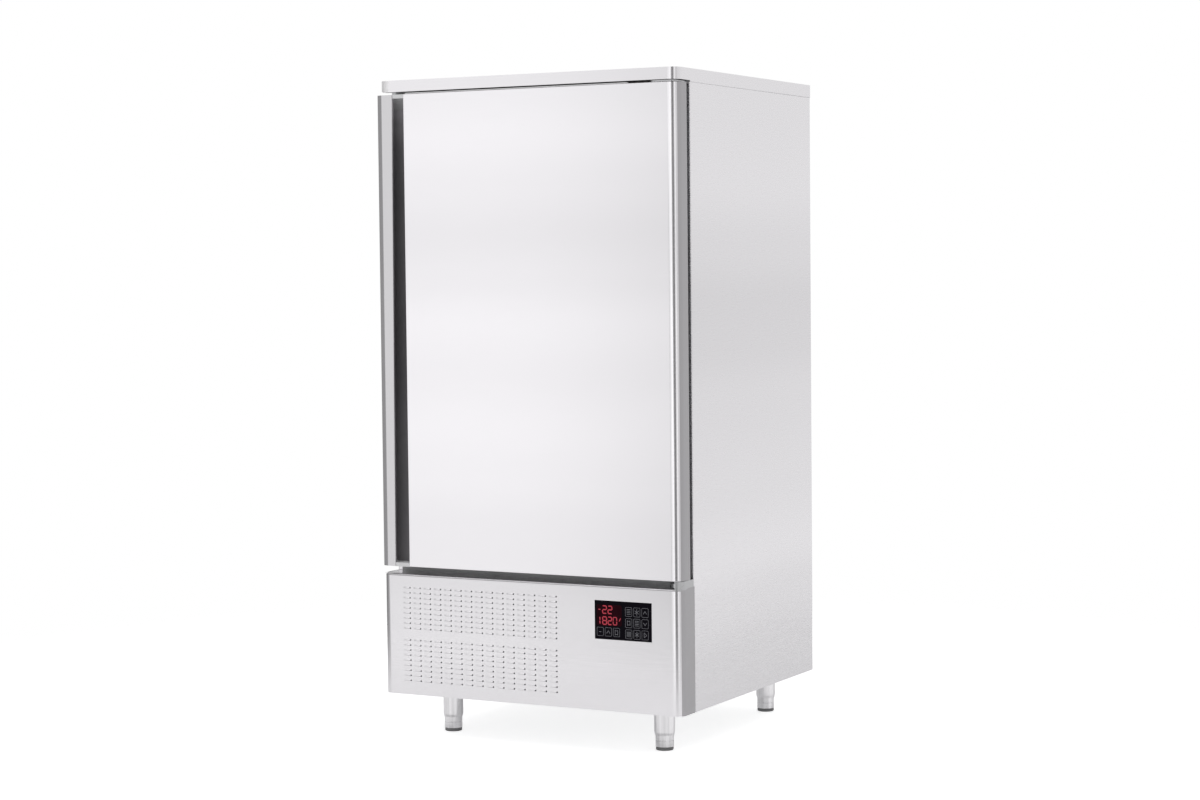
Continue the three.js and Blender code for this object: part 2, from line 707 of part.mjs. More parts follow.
// A flat plate with a hole for the pin and two rounded front corners, and the flange that carries it
function hingeBracket({ left, right, front, corner, low, high, flangeLow }) {
  const [x0, x1, wall] = [HINGE_X - left, HINGE_X + right, CARCASS - FIT];
  const plan = rounded([
    [x0, HINGE_Y - front, corner], [x1, HINGE_Y - front, corner], [x1, wall], [x0, wall],
  ], BEND_STEPS);
  const flange = box(
    [x0, wall - HINGE_FLANGE_SHEET, flangeLow], [x1, wall, flangeLow + HINGE_FLANGE]);
  const hole = cylinder(BUSH_BORE, [HINGE_X, HINGE_Y, low - OVERCUT], high - low + 2 * OVERCUT);
  return cut(join(prismZ(plan, low, high), flange), hole);
}

const UPPER_PLATE_LOW = DOOR_TOP + (UPPER_GAP - UPPER_PLATE) / 2;
const UPPER_PLATE_HIGH = UPPER_PLATE_LOW + UPPER_PLATE;
const LOWER_PLATE_LOW = PANEL_TOP + LOWER_PLATE_GAP;
const LOWER_PLATE_HIGH = LOWER_PLATE_LOW + LOWER_PLATE;

function hingeBracketTop() {
  return hingeBracket({
    left: UPPER_PLATE_LEFT, right: UPPER_PLATE_RIGHT, front: UPPER_PLATE_FRONT, corner: UPPER_PLATE_CORNER,
    low: UPPER_PLATE_LOW, high: UPPER_PLATE_HIGH, flangeLow: UPPER_PLATE_LOW,
  });
}

function hingeBracketBottom() {
  return hingeBracket({
    left: LOWER_PLATE_HALF, right: LOWER_PLATE_HALF, front: LOWER_PLATE_FRONT, corner: LOWER_PLATE_CORNER,
    low: LOWER_PLATE_LOW, high: LOWER_PLATE_HIGH, flangeLow: LOWER_PLATE_HIGH - HINGE_FLANGE,
  });
}

function hingePinTop() {
  const low = DOOR_TOP - PIN_ENGAGEMENT + FIT;
  return cylinder(PIN_RADIUS, [HINGE_X, HINGE_Y, low], UPPER_PLATE_HIGH - low);
}

function hingePinBottom() {
  const high = DOOR_BOTTOM + PIN_ENGAGEMENT - FIT;
  return cylinder(PIN_RADIUS, [HINGE_X, HINGE_Y, LOWER_PLATE_LOW], high - LOWER_PLATE_LOW);
}

// A sleeve with a blind bore for the pin, standing in the door's lower edge
function bushSleeve() {
  const top = PIN_ENGAGEMENT + BUSH_FLANGE;
  const profile = [
    [BUSH_BORE, 0], [BUSH_RADIUS, 0], [BUSH_RADIUS, top], [0, top],
    [0, PIN_ENGAGEMENT], [BUSH_BORE, PIN_ENGAGEMENT],
  ];
  return turned([...profile, profile[0]], [0, 0, 0]);
}

function hingeBushTop() {
  return bushSleeve().mirror([0, 0, 1]).translate([HINGE_X, HINGE_Y, DOOR_TOP]);
}

// Under the door the bush also has the thick washer that it turns on
function hingeBushBottom() {
  const washerLow = LOWER_PLATE_HIGH + FIT - DOOR_BOTTOM;
  const ring = [
    [BUSH_BORE, washerLow], [BUSH_FLANGE_RADIUS, washerLow], [BUSH_FLANGE_RADIUS, -FIT],
    [BUSH_RADIUS, -FIT], [BUSH_RADIUS, BUSH_FLANGE], [BUSH_BORE, BUSH_FLANGE],
  ];
  const washer = turned([...ring, ring[0]], [0, 0, 0]);
  return join(bushSleeve(), washer).translate([HINGE_X, HINGE_Y, DOOR_BOTTOM]);
}

// ---------------------------------------------------------------- legs

function legCentres() {
  const x = RIGHT - LEG_INSET_SIDE;
  const [front, back] = [FRONT + LEG_INSET_FRONT, BACK - LEG_INSET_BACK];
  return { front_left: [-x, front], front_right: [x, front], back_left: [-x, back], back_right: [x, back] };
}

const LEG_TOP = BODY_BOTTOM - FIT;
const FOOT_TOP = SLEEVE_TIP_HEIGHT + FOOT_IN_SLEEVE;

function legSleeve([x, y]) {
  const bore = FOOT_RADIUS + FIT;
  const boreTop = FOOT_TOP + FOOT_TRAVEL_UP;
  const profile = [
    [bore, SLEEVE_TIP_HEIGHT], [SLEEVE_TIP_RADIUS, SLEEVE_TIP_HEIGHT],
    [SLEEVE_RADIUS, SLEEVE_TIP_HEIGHT + SLEEVE_TAPER], [SLEEVE_RADIUS, LEG_TOP], [0, LEG_TOP],
    [0, boreTop], [bore, boreTop],
  ];
  const tube = turned([...profile, profile[0]], [x, y, 0]);
  const half = LEG_PLATE_SIZE / 2;
  return join(tube, box([x - half, y - half, LEG_TOP - LEG_PLATE], [x + half, y + half, LEG_TOP]));
}

function legFoot([x, y]) {
  return cylinder(FOOT_RADIUS, [x, y, PAD_HEIGHT + FIT], FOOT_TOP - PAD_HEIGHT - FIT);
}

function footPad([x, y]) {
  return cylinder(PAD_RADIUS, [x, y, 0], PAD_HEIGHT);
}

// ---------------------------------------------------------------- tray racks

const RACK_FRONT = CARCASS + RACK_SET_BACK;
const RACK_BACK = FAN_WALL_FRONT - RACK_TO_FAN_WALL;
const RACK_INNER = CABIN_HALF - RACK_STAND_OFF;
const RACK_BOTTOM = CABIN_FLOOR + RACK_RISE;
const RACK_TOP = CABIN_CEILING - RACK_DROP;
const LEDGE_ROOM = RACK_TOP - LEDGE_TOP_ROOM - CABIN_FLOOR - LEDGE_FIRST;
const LEDGE_COUNT = Math.floor(LEDGE_ROOM / LEDGE_PITCH) + 1;

function rackSection() {
  const inner = RACK_INNER;
  const outline = [[inner + SHEET, RACK_TOP], [inner + SHEET, RACK_BOTTOM], [inner, RACK_BOTTOM]];
  for (let level = 0; level < LEDGE_COUNT; level += 1) {
    const z = CABIN_FLOOR + LEDGE_FIRST + level * LEDGE_PITCH;
    outline.push([inner, z - LEDGE_SHEET], [inner - LEDGE_WIDTH, z - LEDGE_SHEET]);
    outline.push([inner - LEDGE_WIDTH, z], [inner, z]);
  }
  outline.push([inner, RACK_TOP]);
  return outline;
}

function rackWindows() {
  const columnPitch = (RACK_BACK - RACK_FRONT) / RACK_WINDOW_COLUMNS;
  const windows = [];
  for (let level = 0; level < LEDGE_COUNT - 1; level += 2) {
    const ledge = CABIN_FLOOR + LEDGE_FIRST + level * LEDGE_PITCH;
    for (let column = 0; column < RACK_WINDOW_COLUMNS; column += 1) {
      const y = RACK_FRONT + column * columnPitch;
      windows.push([
        [RACK_INNER - FIT, y + 2 * RACK_WINDOW_MARGIN, ledge + RACK_WINDOW_MARGIN],
        [RACK_INNER + SHEET + OVERCUT, y + columnPitch - 2 * RACK_WINDOW_MARGIN,
          ledge + LEDGE_PITCH - LEDGE_SHEET - RACK_WINDOW_MARGIN],
      ]);
    }
  }
  return boxes(windows);
}

function rackStud(y, z) {
  const start = RACK_INNER + SHEET / 2;
  const stud = new THREE.CylinderGeometry(STUD_RADIUS, STUD_RADIUS, CABIN_HALF - FIT - start, 8);
  stud.rotateZ(Math.PI / 2).translate((start + CABIN_HALF - FIT) / 2, y, z);
  return solidOf(stud);
}

function trayRackRight() {
  const ladder = cut(prismY(rackSection(), RACK_FRONT, RACK_BACK), rackWindows());
  const edge = 2 * STUD_RADIUS;
  const studs = [];
  for (const y of [RACK_FRONT + edge, RACK_BACK - edge]) {
    for (const z of [RACK_BOTTOM + edge, RACK_TOP - edge]) studs.push(rackStud(y, z));
  }
  return join(ladder, ...studs);
}

// ---------------------------------------------------------------- fans

// A hub with pitched, swept blades, turning about an axis along +Y
function fanWheel(radius, centre) {
  const hubRadius = radius * HUB_SHARE;
  const hubDepth = radius * HUB_DEPTH_SHARE;
  const hub = cylinderY(hubRadius, [0, 0, 0], hubDepth, 16);
  const blade = fanBlade(radius, hubRadius, hubDepth);
  const blades = [];
  for (let i = 0; i < BLADE_COUNT; i += 1) {
    const turn = blade.clone().rotateY(2 * Math.PI * i / BLADE_COUNT);
    blades.push(solidOf(turn));
  }
  return join(hub, ...blades).translate(centre);
}

function fanBlade(radius, hubRadius, hubDepth) {
  const reach = radius - hubRadius;
  const outline = new THREE.Shape();
  outline.moveTo(hubRadius * 0.8, -reach * 0.16);
  outline.quadraticCurveTo(hubRadius + reach * 0.45, -reach * 0.42, radius, -reach * 0.3);
  outline.quadraticCurveTo(radius * 1.02, reach * 0.1, radius * 0.93, reach * 0.4);
  outline.quadraticCurveTo(hubRadius + reach * 0.4, reach * 0.3, hubRadius * 0.8, reach * 0.2);
  const depth = BLADE_SHEET;
  const sheet = new THREE.ExtrudeGeometry(outline, { depth, bevelEnabled: false, curveSegments: 2 });
  sheet.translate(0, 0, -depth / 2).rotateX(Math.PI / 2 + THREE.MathUtils.degToRad(BLADE_PITCH_DEG));
  return sheet.translate(0, hubDepth / 2, 0);
}

// A round motor on a cross of flat arms behind it, whose ends stand on the wall round the fan's hole
function fanMotor(fanRadius, wallBack, [x, z]) {
  const front = wallBack + WHEEL_GAP + fanRadius * HUB_DEPTH_SHARE + FIT;
  const armFront = front - wallBack - FIT;
  const reach = fanRadius + FAN_HOLE_CLEARANCE + MOTOR_ARM_OVERLAP;
  const arm = MOTOR_ARM;
  const motor = cylinderY(MOTOR_RADIUS, [0, 0, 0], MOTOR_DEPTH, 16);
  const beam = (dx, dz) => box([-dx, MOTOR_DEPTH - arm, -dz], [dx, MOTOR_DEPTH, dz]);
  const cross = join(beam(reach, arm), beam(arm, reach));
  const feet = [[1, 0], [-1, 0], [0, 1], [0, -1]].map(([i, k]) => {
    const footX = i * (reach - arm);
    const footZ = k * (reach - arm);
    return box([footX - arm, -armFront, footZ - arm], [footX + arm, MOTOR_DEPTH, footZ + arm]);
  });
  return join(motor, cross, ...feet).translate([x, front, z]);
}

// Round wires on four spokes, standing off the wall on the spokes' ends
function fanGuard(radius, wire, rings, standOff, centre) {
  const parts = [];
  for (let i = 0; i < rings; i += 1) {
    const middle = radius * (i + 1) / rings - wire / 2;
    const ring = [
      [middle - wire / 2, 0], [middle + wire / 2, 0], [middle + wire / 2, wire], [middle - wire / 2, wire],
    ];
    parts.push(turnedY([...ring, ring[0]], [0, 0, 0], GUARD_STEPS));
  }
  const overlap = wire / 4;
  for (const [dx, dz] of [[radius + wire, wire / 2], [wire / 2, radius + wire]]) {
    parts.push(box([-dx, overlap, -dz], [dx, wire + overlap, dz]));
  }
  for (const [i, k] of [[1, 0], [-1, 0], [0, 1], [0, -1]]) {
    const [x, z] = [i * (radius + wire / 2), k * (radius + wire / 2)];
    parts.push(box([x - wire / 2, overlap, z - wire / 2], [x + wire / 2, standOff, z + wire / 2]));
  }
  return join(...parts).translate(centre);
}

// ---------------------------------------------------------------- fan wall and evaporator

const FAN_WALL_BACK = FAN_WALL_FRONT + SHEET;
const FAN_WALL_HALF = CABIN_HALF - FAN_WALL_SIDE_GAP;
const FAN_WALL_LOW = CABIN_FLOOR + FAN_WALL_RISE;
const FAN_WALL_HIGH = CABIN_CEILING - FAN_WALL_DROP;
const FAN_MIDDLE = (FAN_WALL_LOW + FAN_WALL_HIGH) / 2;
const UPPER_FAN = FAN_MIDDLE + EVAPORATOR_FAN_SPREAD;
const LOWER_FAN = FAN_MIDDLE - EVAPORATOR_FAN_SPREAD;

function fanWall() {
  const section = sheetSection([
    [CABIN_BACK - FIT, FAN_WALL_LOW], [FAN_WALL_FRONT, FAN_WALL_LOW, EDGE_BEND],
    [FAN_WALL_FRONT, FAN_WALL_HIGH, EDGE_BEND], [CABIN_BACK - FIT, FAN_WALL_HIGH],
  ].reverse(), SHEET, 2);
  const sheet = prismX(section, -FAN_WALL_HALF, FAN_WALL_HALF);
  const hole = (z) => cylinderY(
    EVAPORATOR_FAN_RADIUS + FAN_HOLE_CLEARANCE, [0, FAN_WALL_FRONT - OVERCUT, z], SHEET + 2 * OVERCUT, 28);
  return cut(sheet, hole(UPPER_FAN), hole(LOWER_FAN));
}

function evaporatorFan(z) {
  return fanWheel(EVAPORATOR_FAN_RADIUS, [0, FAN_WALL_BACK + WHEEL_GAP, z]);
}

function evaporatorFanMotor(z) {
  return fanMotor(EVAPORATOR_FAN_RADIUS, FAN_WALL_BACK, [0, z]);
}

function evaporatorFanGuard(z) {
  const radius = EVAPORATOR_FAN_RADIUS + FAN_HOLE_CLEARANCE + GUARD_OVERLAP;
  return fanGuard(
    radius, GUARD_WIRE, GUARD_RINGS, GUARD_STAND_OFF, [0, FAN_WALL_FRONT - GUARD_STAND_OFF - FIT, z]);
}

// Upright fins on a back plate, as one comb section
function finBlock(x0, x1, front, back, z0, z1, finCount, plate) {
  const pitch = (x1 - x0 - FIN_SHEET) / (finCount - 1);
  const outline = [[x0, back]];
  for (let i = 0; i < finCount; i += 1) {
    const x = x0 + i * pitch;
    outline.push([x, front], [x + FIN_SHEET, front]);
    if (i < finCount - 1) outline.push([x + FIN_SHEET, back - plate], [x + pitch, back - plate]);
  }
  outline.push([x1, back]);
  return prismZ(outline, z0, z1);
}

function evaporatorCoil() {
  const half = FAN_WALL_HALF - EVAPORATOR_COIL_INSET;
  return finBlock(
    -half, half, CABIN_BACK - EVAPORATOR_COIL_DEPTH, CABIN_BACK - FIT,
    FAN_WALL_LOW + EVAPORATOR_COIL_MARGIN, FAN_WALL_HIGH - EVAPORATOR_COIL_MARGIN,
    EVAPORATOR_FINS, COIL_PLATE);
}

// ---------------------------------------------------------------- cooling unit

const PAN_FLOOR = BODY_BOTTOM + BASE_SHEET + FIT;
const CONDENSER_HEIGHT = DECK - PAN_FLOOR - CONDENSER_HEADROOM;
const CONDENSER_LEFT = LEFT + CONDENSER_FROM_LEFT;
const CONDENSER_RIGHT = CONDENSER_LEFT + CONDENSER_WIDTH;
const CONDENSER_FRONT = FRONT + CONDENSER_SET_BACK;
const CONDENSER_BACK = CONDENSER_FRONT + CONDENSER_DEPTH;
const CONDENSER_MIDDLE = [(CONDENSER_LEFT + CONDENSER_RIGHT) / 2, PAN_FLOOR + CONDENSER_HEIGHT / 2];
const SHROUD_FRONT = CONDENSER_BACK + FIT;
const SHROUD_BACK = SHROUD_FRONT + SHROUD_DEPTH;

function condenserCoil() {
  return finBlock(
    CONDENSER_LEFT, CONDENSER_RIGHT, CONDENSER_FRONT, CONDENSER_BACK,
    PAN_FLOOR, PAN_FLOOR + CONDENSER_HEIGHT, CONDENSER_FINS, COIL_PLATE);
}

function condenserShroud() {
  const [x, z] = CONDENSER_MIDDLE;
  const shell = box(
    [CONDENSER_LEFT, SHROUD_FRONT, PAN_FLOOR],
    [CONDENSER_RIGHT, SHROUD_BACK, PAN_FLOOR + CONDENSER_HEIGHT]);
  const inside = box(
    [CONDENSER_LEFT + SHEET, SHROUD_FRONT - OVERCUT, PAN_FLOOR + SHEET],
    [CONDENSER_RIGHT - SHEET, SHROUD_BACK - SHEET, PAN_FLOOR + CONDENSER_HEIGHT - SHEET]);
  const holeRadius = CONDENSER_FAN_RADIUS + FAN_HOLE_CLEARANCE;
  const hole = cylinderY(holeRadius, [x, SHROUD_BACK - SHEET - OVERCUT, z], SHEET + 2 * OVERCUT, 28);
  return cut(shell, inside, hole);
}

function condenserFan() {
  const [x, z] = CONDENSER_MIDDLE;
  return fanWheel(CONDENSER_FAN_RADIUS, [x, SHROUD_BACK + WHEEL_GAP, z]);
}

function condenserFanMotor() {
  return fanMotor(CONDENSER_FAN_RADIUS, SHROUD_BACK, CONDENSER_MIDDLE);
}

const COMPRESSOR_CENTRE = [RIGHT - COMPRESSOR_FROM_RIGHT, BACK - COMPRESSOR_FROM_BACK];
const RECEIVER_CENTRE = [LEFT + RECEIVER_FROM_LEFT, BACK - RECEIVER_FROM_BACK];

// A welded steel can on a square foot plate with four rubber feet
function compressor() {
  const [x, y] = COMPRESSOR_CENTRE;
  const [r, h] = [COMPRESSOR_RADIUS, COMPRESSOR_HEIGHT];
  const seam = r * COMPRESSOR_SEAM_SHARE;
  const can = turned([
    [0, COMPRESSOR_LIFT], [r * 0.8, COMPRESSOR_LIFT], [r, COMPRESSOR_BOWL], [r, h * 0.55], [seam, h * 0.56],
    [seam, h * 0.6], [r, h * 0.61], [r * 0.96, h * 0.8], [r * 0.6, h * 0.97], [0, h],
  ], [x, y, PAN_FLOOR], 18);
  const foot = r * 0.95;
  const low = PAN_FLOOR + COMPRESSOR_LIFT - FOOT_PLATE_SINK;
  const plate = box([x - foot, y - foot, low], [x + foot, y + foot, low + FOOT_PLATE]);
  const grommets = [[-1, -1], [1, -1], [-1, 1], [1, 1]].map(([i, k]) => cylinder(
    GROMMET_RADIUS, [x + i * foot * 0.84, y + k * foot * 0.84, PAN_FLOOR], COMPRESSOR_LIFT, 8));
  return join(can, plate, ...grommets);
}

function liquidReceiver() {
  const [x, y] = RECEIVER_CENTRE;
  const [r, h] = [RECEIVER_RADIUS, RECEIVER_HEIGHT];
  const can = turned([
    [0, RECEIVER_LIFT], [r * 0.7, RECEIVER_LIFT + 0.1 * RECEIVER_DOME], [r, RECEIVER_LIFT + RECEIVER_DOME],
    [r, h - RECEIVER_DOME], [r * 0.7, h - 0.2 * RECEIVER_DOME], [0, h],
  ], [x, y, PAN_FLOOR], 14);
  const ring = [[r * 0.82, 0], [r * 0.92, 0], [r * 0.92, RECEIVER_RING], [r * 0.82, RECEIVER_RING]];
  return join(can, turned([...ring, ring[0]], [x, y, PAN_FLOOR], 14));
}

function pipe(points) {
  const corners = points.map((point) => new THREE.Vector3(...point));
  const path = new THREE.CatmullRomCurve3(corners, false, 'centripetal');
  const section = new THREE.Shape().absarc(0, 0, PIPE_RADIUS, 0, 2 * Math.PI);
  const sweep = { extrudePath: path, steps: 3 * (points.length - 1), curveSegments: 3, bevelEnabled: false };
  return solidOf(new THREE.ExtrudeGeometry(section, sweep));
}

const PORT = PAN_FLOOR + COMPRESSOR_HEIGHT * COMPRESSOR_PORT_SHARE;
const PORT_REACH = COMPRESSOR_RADIUS * COMPRESSOR_SEAM_SHARE + FIT;

// From the compressor's side round to the top of the condenser
function dischargePipe() {
  const [x, y] = COMPRESSOR_CENTRE;
  const start = x - PORT_REACH;
  const condenserTop = PAN_FLOOR + CONDENSER_HEIGHT;
  const high = condenserTop + 5 * PIPE_RADIUS;
  const endX = CONDENSER_RIGHT - PIPE_BEND;
  const endY = (CONDENSER_FRONT + CONDENSER_BACK) / 2;
  return pipe([
    [start, y, PORT], [start - PIPE_BEND, y, PORT],
    [start - PIPE_LEAD, y - 2 * PIPE_BEND, high - 2 * PIPE_RADIUS],
    [endX, SHROUD_BACK + 2 * PIPE_BEND, high], [endX, endY + 5 * PIPE_RADIUS, high],
    [endX, endY + PIPE_RADIUS, high - PIPE_RADIUS], [endX, endY, high - 3 * PIPE_RADIUS],
    [endX, endY, condenserTop + FIT],
  ]);
}

// From the compressor's rear up to the deck, on its way to the evaporator
function suctionPipe() {
  const [x, y] = COMPRESSOR_CENTRE;
  const start = y + PORT_REACH;
  const reach = start + PIPE_LEAD;
  return pipe([
    [x, start, PORT], [x, reach - PIPE_BEND / 4, PORT], [x, reach, PORT + PIPE_BEND],
    [x, reach, PORT + 3 * PIPE_BEND], [x, reach, DECK - FIT],
  ]);
}

function electricBox() {
  const right = RIGHT - SKIN - ELECTRIC_BOX_FROM_RIGHT;
  const left = right - ELECTRIC_BOX_WIDTH;
  const front = FRONT + ELECTRIC_BOX_SET_BACK;
  const back = front + ELECTRIC_BOX_DEPTH;
  const top = PAN_FLOOR + ELECTRIC_BOX_HEIGHT;
  const body = box([left, front, PAN_FLOOR], [right, back, top]);
  const lid = box(
    [left - ELECTRIC_LID_LIP, front, top - ELECTRIC_LID_SKIRT],
    [right + ELECTRIC_LID_LIP, back + ELECTRIC_LID_LIP, top + ELECTRIC_LID_RISE]);
  return join(body, lid);
}

// A dome nut under the base with a bore for the supply lead
function cableGland() {
  const centre = [RIGHT - GLAND_FROM_RIGHT, BACK - GLAND_FROM_BACK, BODY_BOTTOM - FIT - GLAND_HEIGHT];
  const dome = [
    [GLAND_BORE, 0], [GLAND_RADIUS * 0.7, 0], [GLAND_RADIUS, GLAND_HEIGHT * 0.4],
    [GLAND_RADIUS, GLAND_HEIGHT], [GLAND_BORE, GLAND_HEIGHT],
  ];
  return turned([...dome, dome[0]], centre, 12);
}

// ---------------------------------------------------------------- the assembly

const rightSide = rightSideSection();
place('side_panel_right', sidePanel(rightSide), 'steel');
place('side_panel_left', sidePanel(mirrored(rightSide)), 'steel');
place('back_panel', backPanel(), 'zinc');
place('rear_vent_panel', rearVentPanel(), 'zinc');
place('top_cover', topCover(), 'steel');
place('base_pan', basePan(), 'zinc');
place('deck_plate', deckPlate(), 'zinc');
place('insulation', insulation(), 'foam');
place('inner_liner', innerLiner(), 'linerSteel');
place('front_surround', frontSurround(), 'greyPlastic');
place('lower_front_panel', lowerFrontPanel(), 'steel');
place('control_panel', controlPanel(), 'blackGlass');
place('control_box', controlBox(), 'blackPlastic');

place('door_skin', doorSkin(), 'steel');
place('door_insulation', doorInsulation(), 'foam');
place('door_liner', doorLiner(), 'linerSteel');
place('door_gasket', doorGasket(), 'rubber');
place('grip_profile', gripProfile(), 'steel');
place('grip_cap_top', gripCap(DOOR_TOP - GRIP_CAP), 'greyPlastic');
place('grip_cap_bottom', gripCap(DOOR_BOTTOM), 'greyPlastic');

place('hinge_bracket_top', hingeBracketTop(), 'castGrey');
place('hinge_bracket_bottom', hingeBracketBottom(), 'castGrey');
place('hinge_pin_top', hingePinTop(), 'castGrey');
place('hinge_pin_bottom', hingePinBottom(), 'castGrey');
place('hinge_bush_top', hingeBushTop(), 'blackPlastic');
place('hinge_bush_bottom', hingeBushBottom(), 'blackPlastic');

for (const [corner, centre] of Object.entries(legCentres())) {
  place(`leg_sleeve_${corner}`, legSleeve(centre), 'aluminium');
  place(`leg_foot_${corner}`, legFoot(centre), 'aluminium');
  place(`foot_pad_${corner}`, footPad(centre), 'blackPlastic');
}

const rack = trayRackRight();
place('tray_rack_right', rack, 'linerSteel');
place('tray_rack_left', rack.mirror([1, 0, 0]), 'linerSteel');

place('fan_wall', fanWall(), 'linerSteel');
place('evaporator_coil', evaporatorCoil(), 'aluminium');
for (const [level, z] of [['upper', UPPER_FAN], ['lower', LOWER_FAN]]) {
  place(`evaporator_fan_${level}`, evaporatorFan(z), 'blackPlastic');
  place(`evaporator_fan_motor_${level}`, evaporatorFanMotor(z), 'castGrey');
  place(`evaporator_fan_guard_${level}`, evaporatorFanGuard(z), 'linerSteel');
}

place('condenser_coil', condenserCoil(), 'aluminium');
place('condenser_shroud', condenserShroud(), 'zinc');
place('condenser_fan', condenserFan(), 'blackPlastic');
place('condenser_fan_motor', condenserFanMotor(), 'castGrey');
place('compressor', compressor(), 'blackPaint');
place('liquid_receiver', liquidReceiver(), 'blackPaint');
place('discharge_pipe', dischargePipe(), 'copper');
place('suction_pipe', suctionPipe(), 'copper');
place('electric_box', electricBox(), 'greyPlastic');
place('cable_gland', cableGland(), 'blackPlastic');

export default blastChiller;
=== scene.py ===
# %% [markdown]
# # Dressing an upright blast chiller
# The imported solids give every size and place. This lesson loads them as a fixed frame, covers
# each one with a finer piece or a better finish, and lights the result like a catalogue picture.
# One metre in Blender is one metre of the cabinet; the door faces -Y and the floor is at z = 0.

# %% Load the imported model
import json
import math

import bmesh
import bpy
from mathutils import Matrix, Vector


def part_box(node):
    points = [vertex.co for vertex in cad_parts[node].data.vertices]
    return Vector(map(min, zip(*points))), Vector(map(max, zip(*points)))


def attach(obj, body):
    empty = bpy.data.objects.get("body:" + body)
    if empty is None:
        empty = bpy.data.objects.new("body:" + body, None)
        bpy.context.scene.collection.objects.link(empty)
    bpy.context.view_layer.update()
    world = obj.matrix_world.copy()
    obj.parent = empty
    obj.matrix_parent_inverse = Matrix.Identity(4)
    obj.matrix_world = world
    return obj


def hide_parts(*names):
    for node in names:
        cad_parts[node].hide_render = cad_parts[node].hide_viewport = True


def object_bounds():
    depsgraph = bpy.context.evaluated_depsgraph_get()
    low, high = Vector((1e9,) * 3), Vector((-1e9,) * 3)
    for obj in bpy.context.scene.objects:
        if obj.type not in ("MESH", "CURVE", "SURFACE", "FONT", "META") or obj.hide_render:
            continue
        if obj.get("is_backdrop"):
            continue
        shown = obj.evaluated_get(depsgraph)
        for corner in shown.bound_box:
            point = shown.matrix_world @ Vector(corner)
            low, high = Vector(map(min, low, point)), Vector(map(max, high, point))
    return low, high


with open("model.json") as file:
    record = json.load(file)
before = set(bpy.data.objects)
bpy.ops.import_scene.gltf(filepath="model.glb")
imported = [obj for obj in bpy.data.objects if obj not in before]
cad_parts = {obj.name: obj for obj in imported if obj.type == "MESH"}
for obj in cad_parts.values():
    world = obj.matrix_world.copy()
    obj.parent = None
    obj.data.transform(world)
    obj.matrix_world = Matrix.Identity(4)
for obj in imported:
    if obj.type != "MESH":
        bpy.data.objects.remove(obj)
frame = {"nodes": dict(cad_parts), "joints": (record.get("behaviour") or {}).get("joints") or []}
cad_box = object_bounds()
MM = 0.001

# %% [markdown]
# ## The camera
# A catalogue picture is taken from far away with a long lens, so that upright edges stay nearly
# parallel. The camera stands to the right of the door at chest height and looks down a little.

# %% Camera
CAMERA_PLACE = (2.8878, -5.3778, 1.1190)
CAMERA_TURN, CAMERA_TILT, CAMERA_ROLL = 28.26, 3.09, -0.566
CAMERA_LENS, SENSOR_WIDTH, FARTHEST = 75.64, 36, 200
camera = bpy.data.objects.new("camera", bpy.data.cameras.new("camera"))
bpy.context.scene.collection.objects.link(camera)
camera.data.lens, camera.data.sensor_width, camera.data.clip_end = CAMERA_LENS, SENSOR_WIDTH, FARTHEST
camera.matrix_world = (
    Matrix.Translation(CAMERA_PLACE)
    @ Matrix.Rotation(math.radians(CAMERA_TURN), 4, "Z")
    @ Matrix.Rotation(math.radians(90 - CAMERA_TILT), 4, "X")
    @ Matrix.Rotation(math.radians(CAMERA_ROLL), 4, "Z"))
bpy.context.scene.camera = camera
print("camera lens", camera.data.lens, "mm")

# %% [markdown]
# ## The room that the steel reflects
# Bare steel has hardly any colour of its own: it shows the room. A studio is white cards with
# dark gaps between them, and the dark gaps draw the stripes on a rounded steel edge. So the
# world is white to the camera, and to reflections it is a ring of cards: a brightness for each
# compass direction round the cabinet, 0 degrees towards the viewer of the door, 90 to the right.
# The cards stand at eye level; the ceiling above them and the ground below are one plain tone.

# %% World of white cards and dark gaps
CARDS = [(-180, 0.85), (-150, 0.55), (-125, 0.28), (-88, 0.28), (-76, 0.42), (-56, 0.42), (-47, 0.80),
         (-40, 0.96), (-35, 1.05), (-32, 1.18), (-28.5, 1.17), (-26, 0.84), (-23, 0.72), (-18, 0.78),
         (-12, 1.08), (4, 1.11), (6, 1.34), (13, 1.34), (17, 0.60), (22, 0.24), (41, 0.24), (47, 1.08),
         (58, 1.06), (66, 0.72), (76, 0.70), (90, 0.86), (120, 0.86), (150, 0.90), (180, 0.85)]
ROOM_GLOW, CEILING_GLOW = 0.55, 0.84
CARDS_END, CEILING_START = 0.16, 0.48  # steepness of a ray: 0 is level, 1 is straight up or down


def node(tree, kind, inputs=None, **settings):
    made = tree.nodes.new(kind)
    for name, value in settings.items():
        setattr(made, name, value)
    for socket, value in (inputs or {}).items():
        if isinstance(value, bpy.types.NodeSocket):
            tree.links.new(value, made.inputs[socket])
        else:
            made.inputs[socket].default_value = value
    return made


world = bpy.data.worlds.new("studio")
bpy.context.scene.world = world
world.use_nodes = True
room = world.node_tree
room.nodes.clear()
way = node(room, "ShaderNodeSeparateXYZ", {0: node(room, "ShaderNodeTexCoord").outputs["Generated"]})
back_way = node(room, "ShaderNodeMath", {0: way.outputs["Y"], 1: -1.0}, operation="MULTIPLY")
compass = node(room, "ShaderNodeMath", {0: way.outputs["X"], 1: back_way.outputs[0]}, operation="ARCTAN2")
turn = node(room, "ShaderNodeMapRange", {0: compass.outputs[0], 1: -math.pi, 2: math.pi})
cards = node(room, "ShaderNodeValToRGB", {0: turn.outputs[0]})
while len(cards.color_ramp.elements) < len(CARDS):
    cards.color_ramp.elements.new(0.5)
for element, (degrees, glow) in zip(cards.color_ramp.elements, CARDS):
    element.position = (degrees + 180) / 360
for element, (degrees, glow) in zip(cards.color_ramp.elements, CARDS):
    element.color = (glow, glow, glow, 1)
print("cards round the room", len(CARDS))

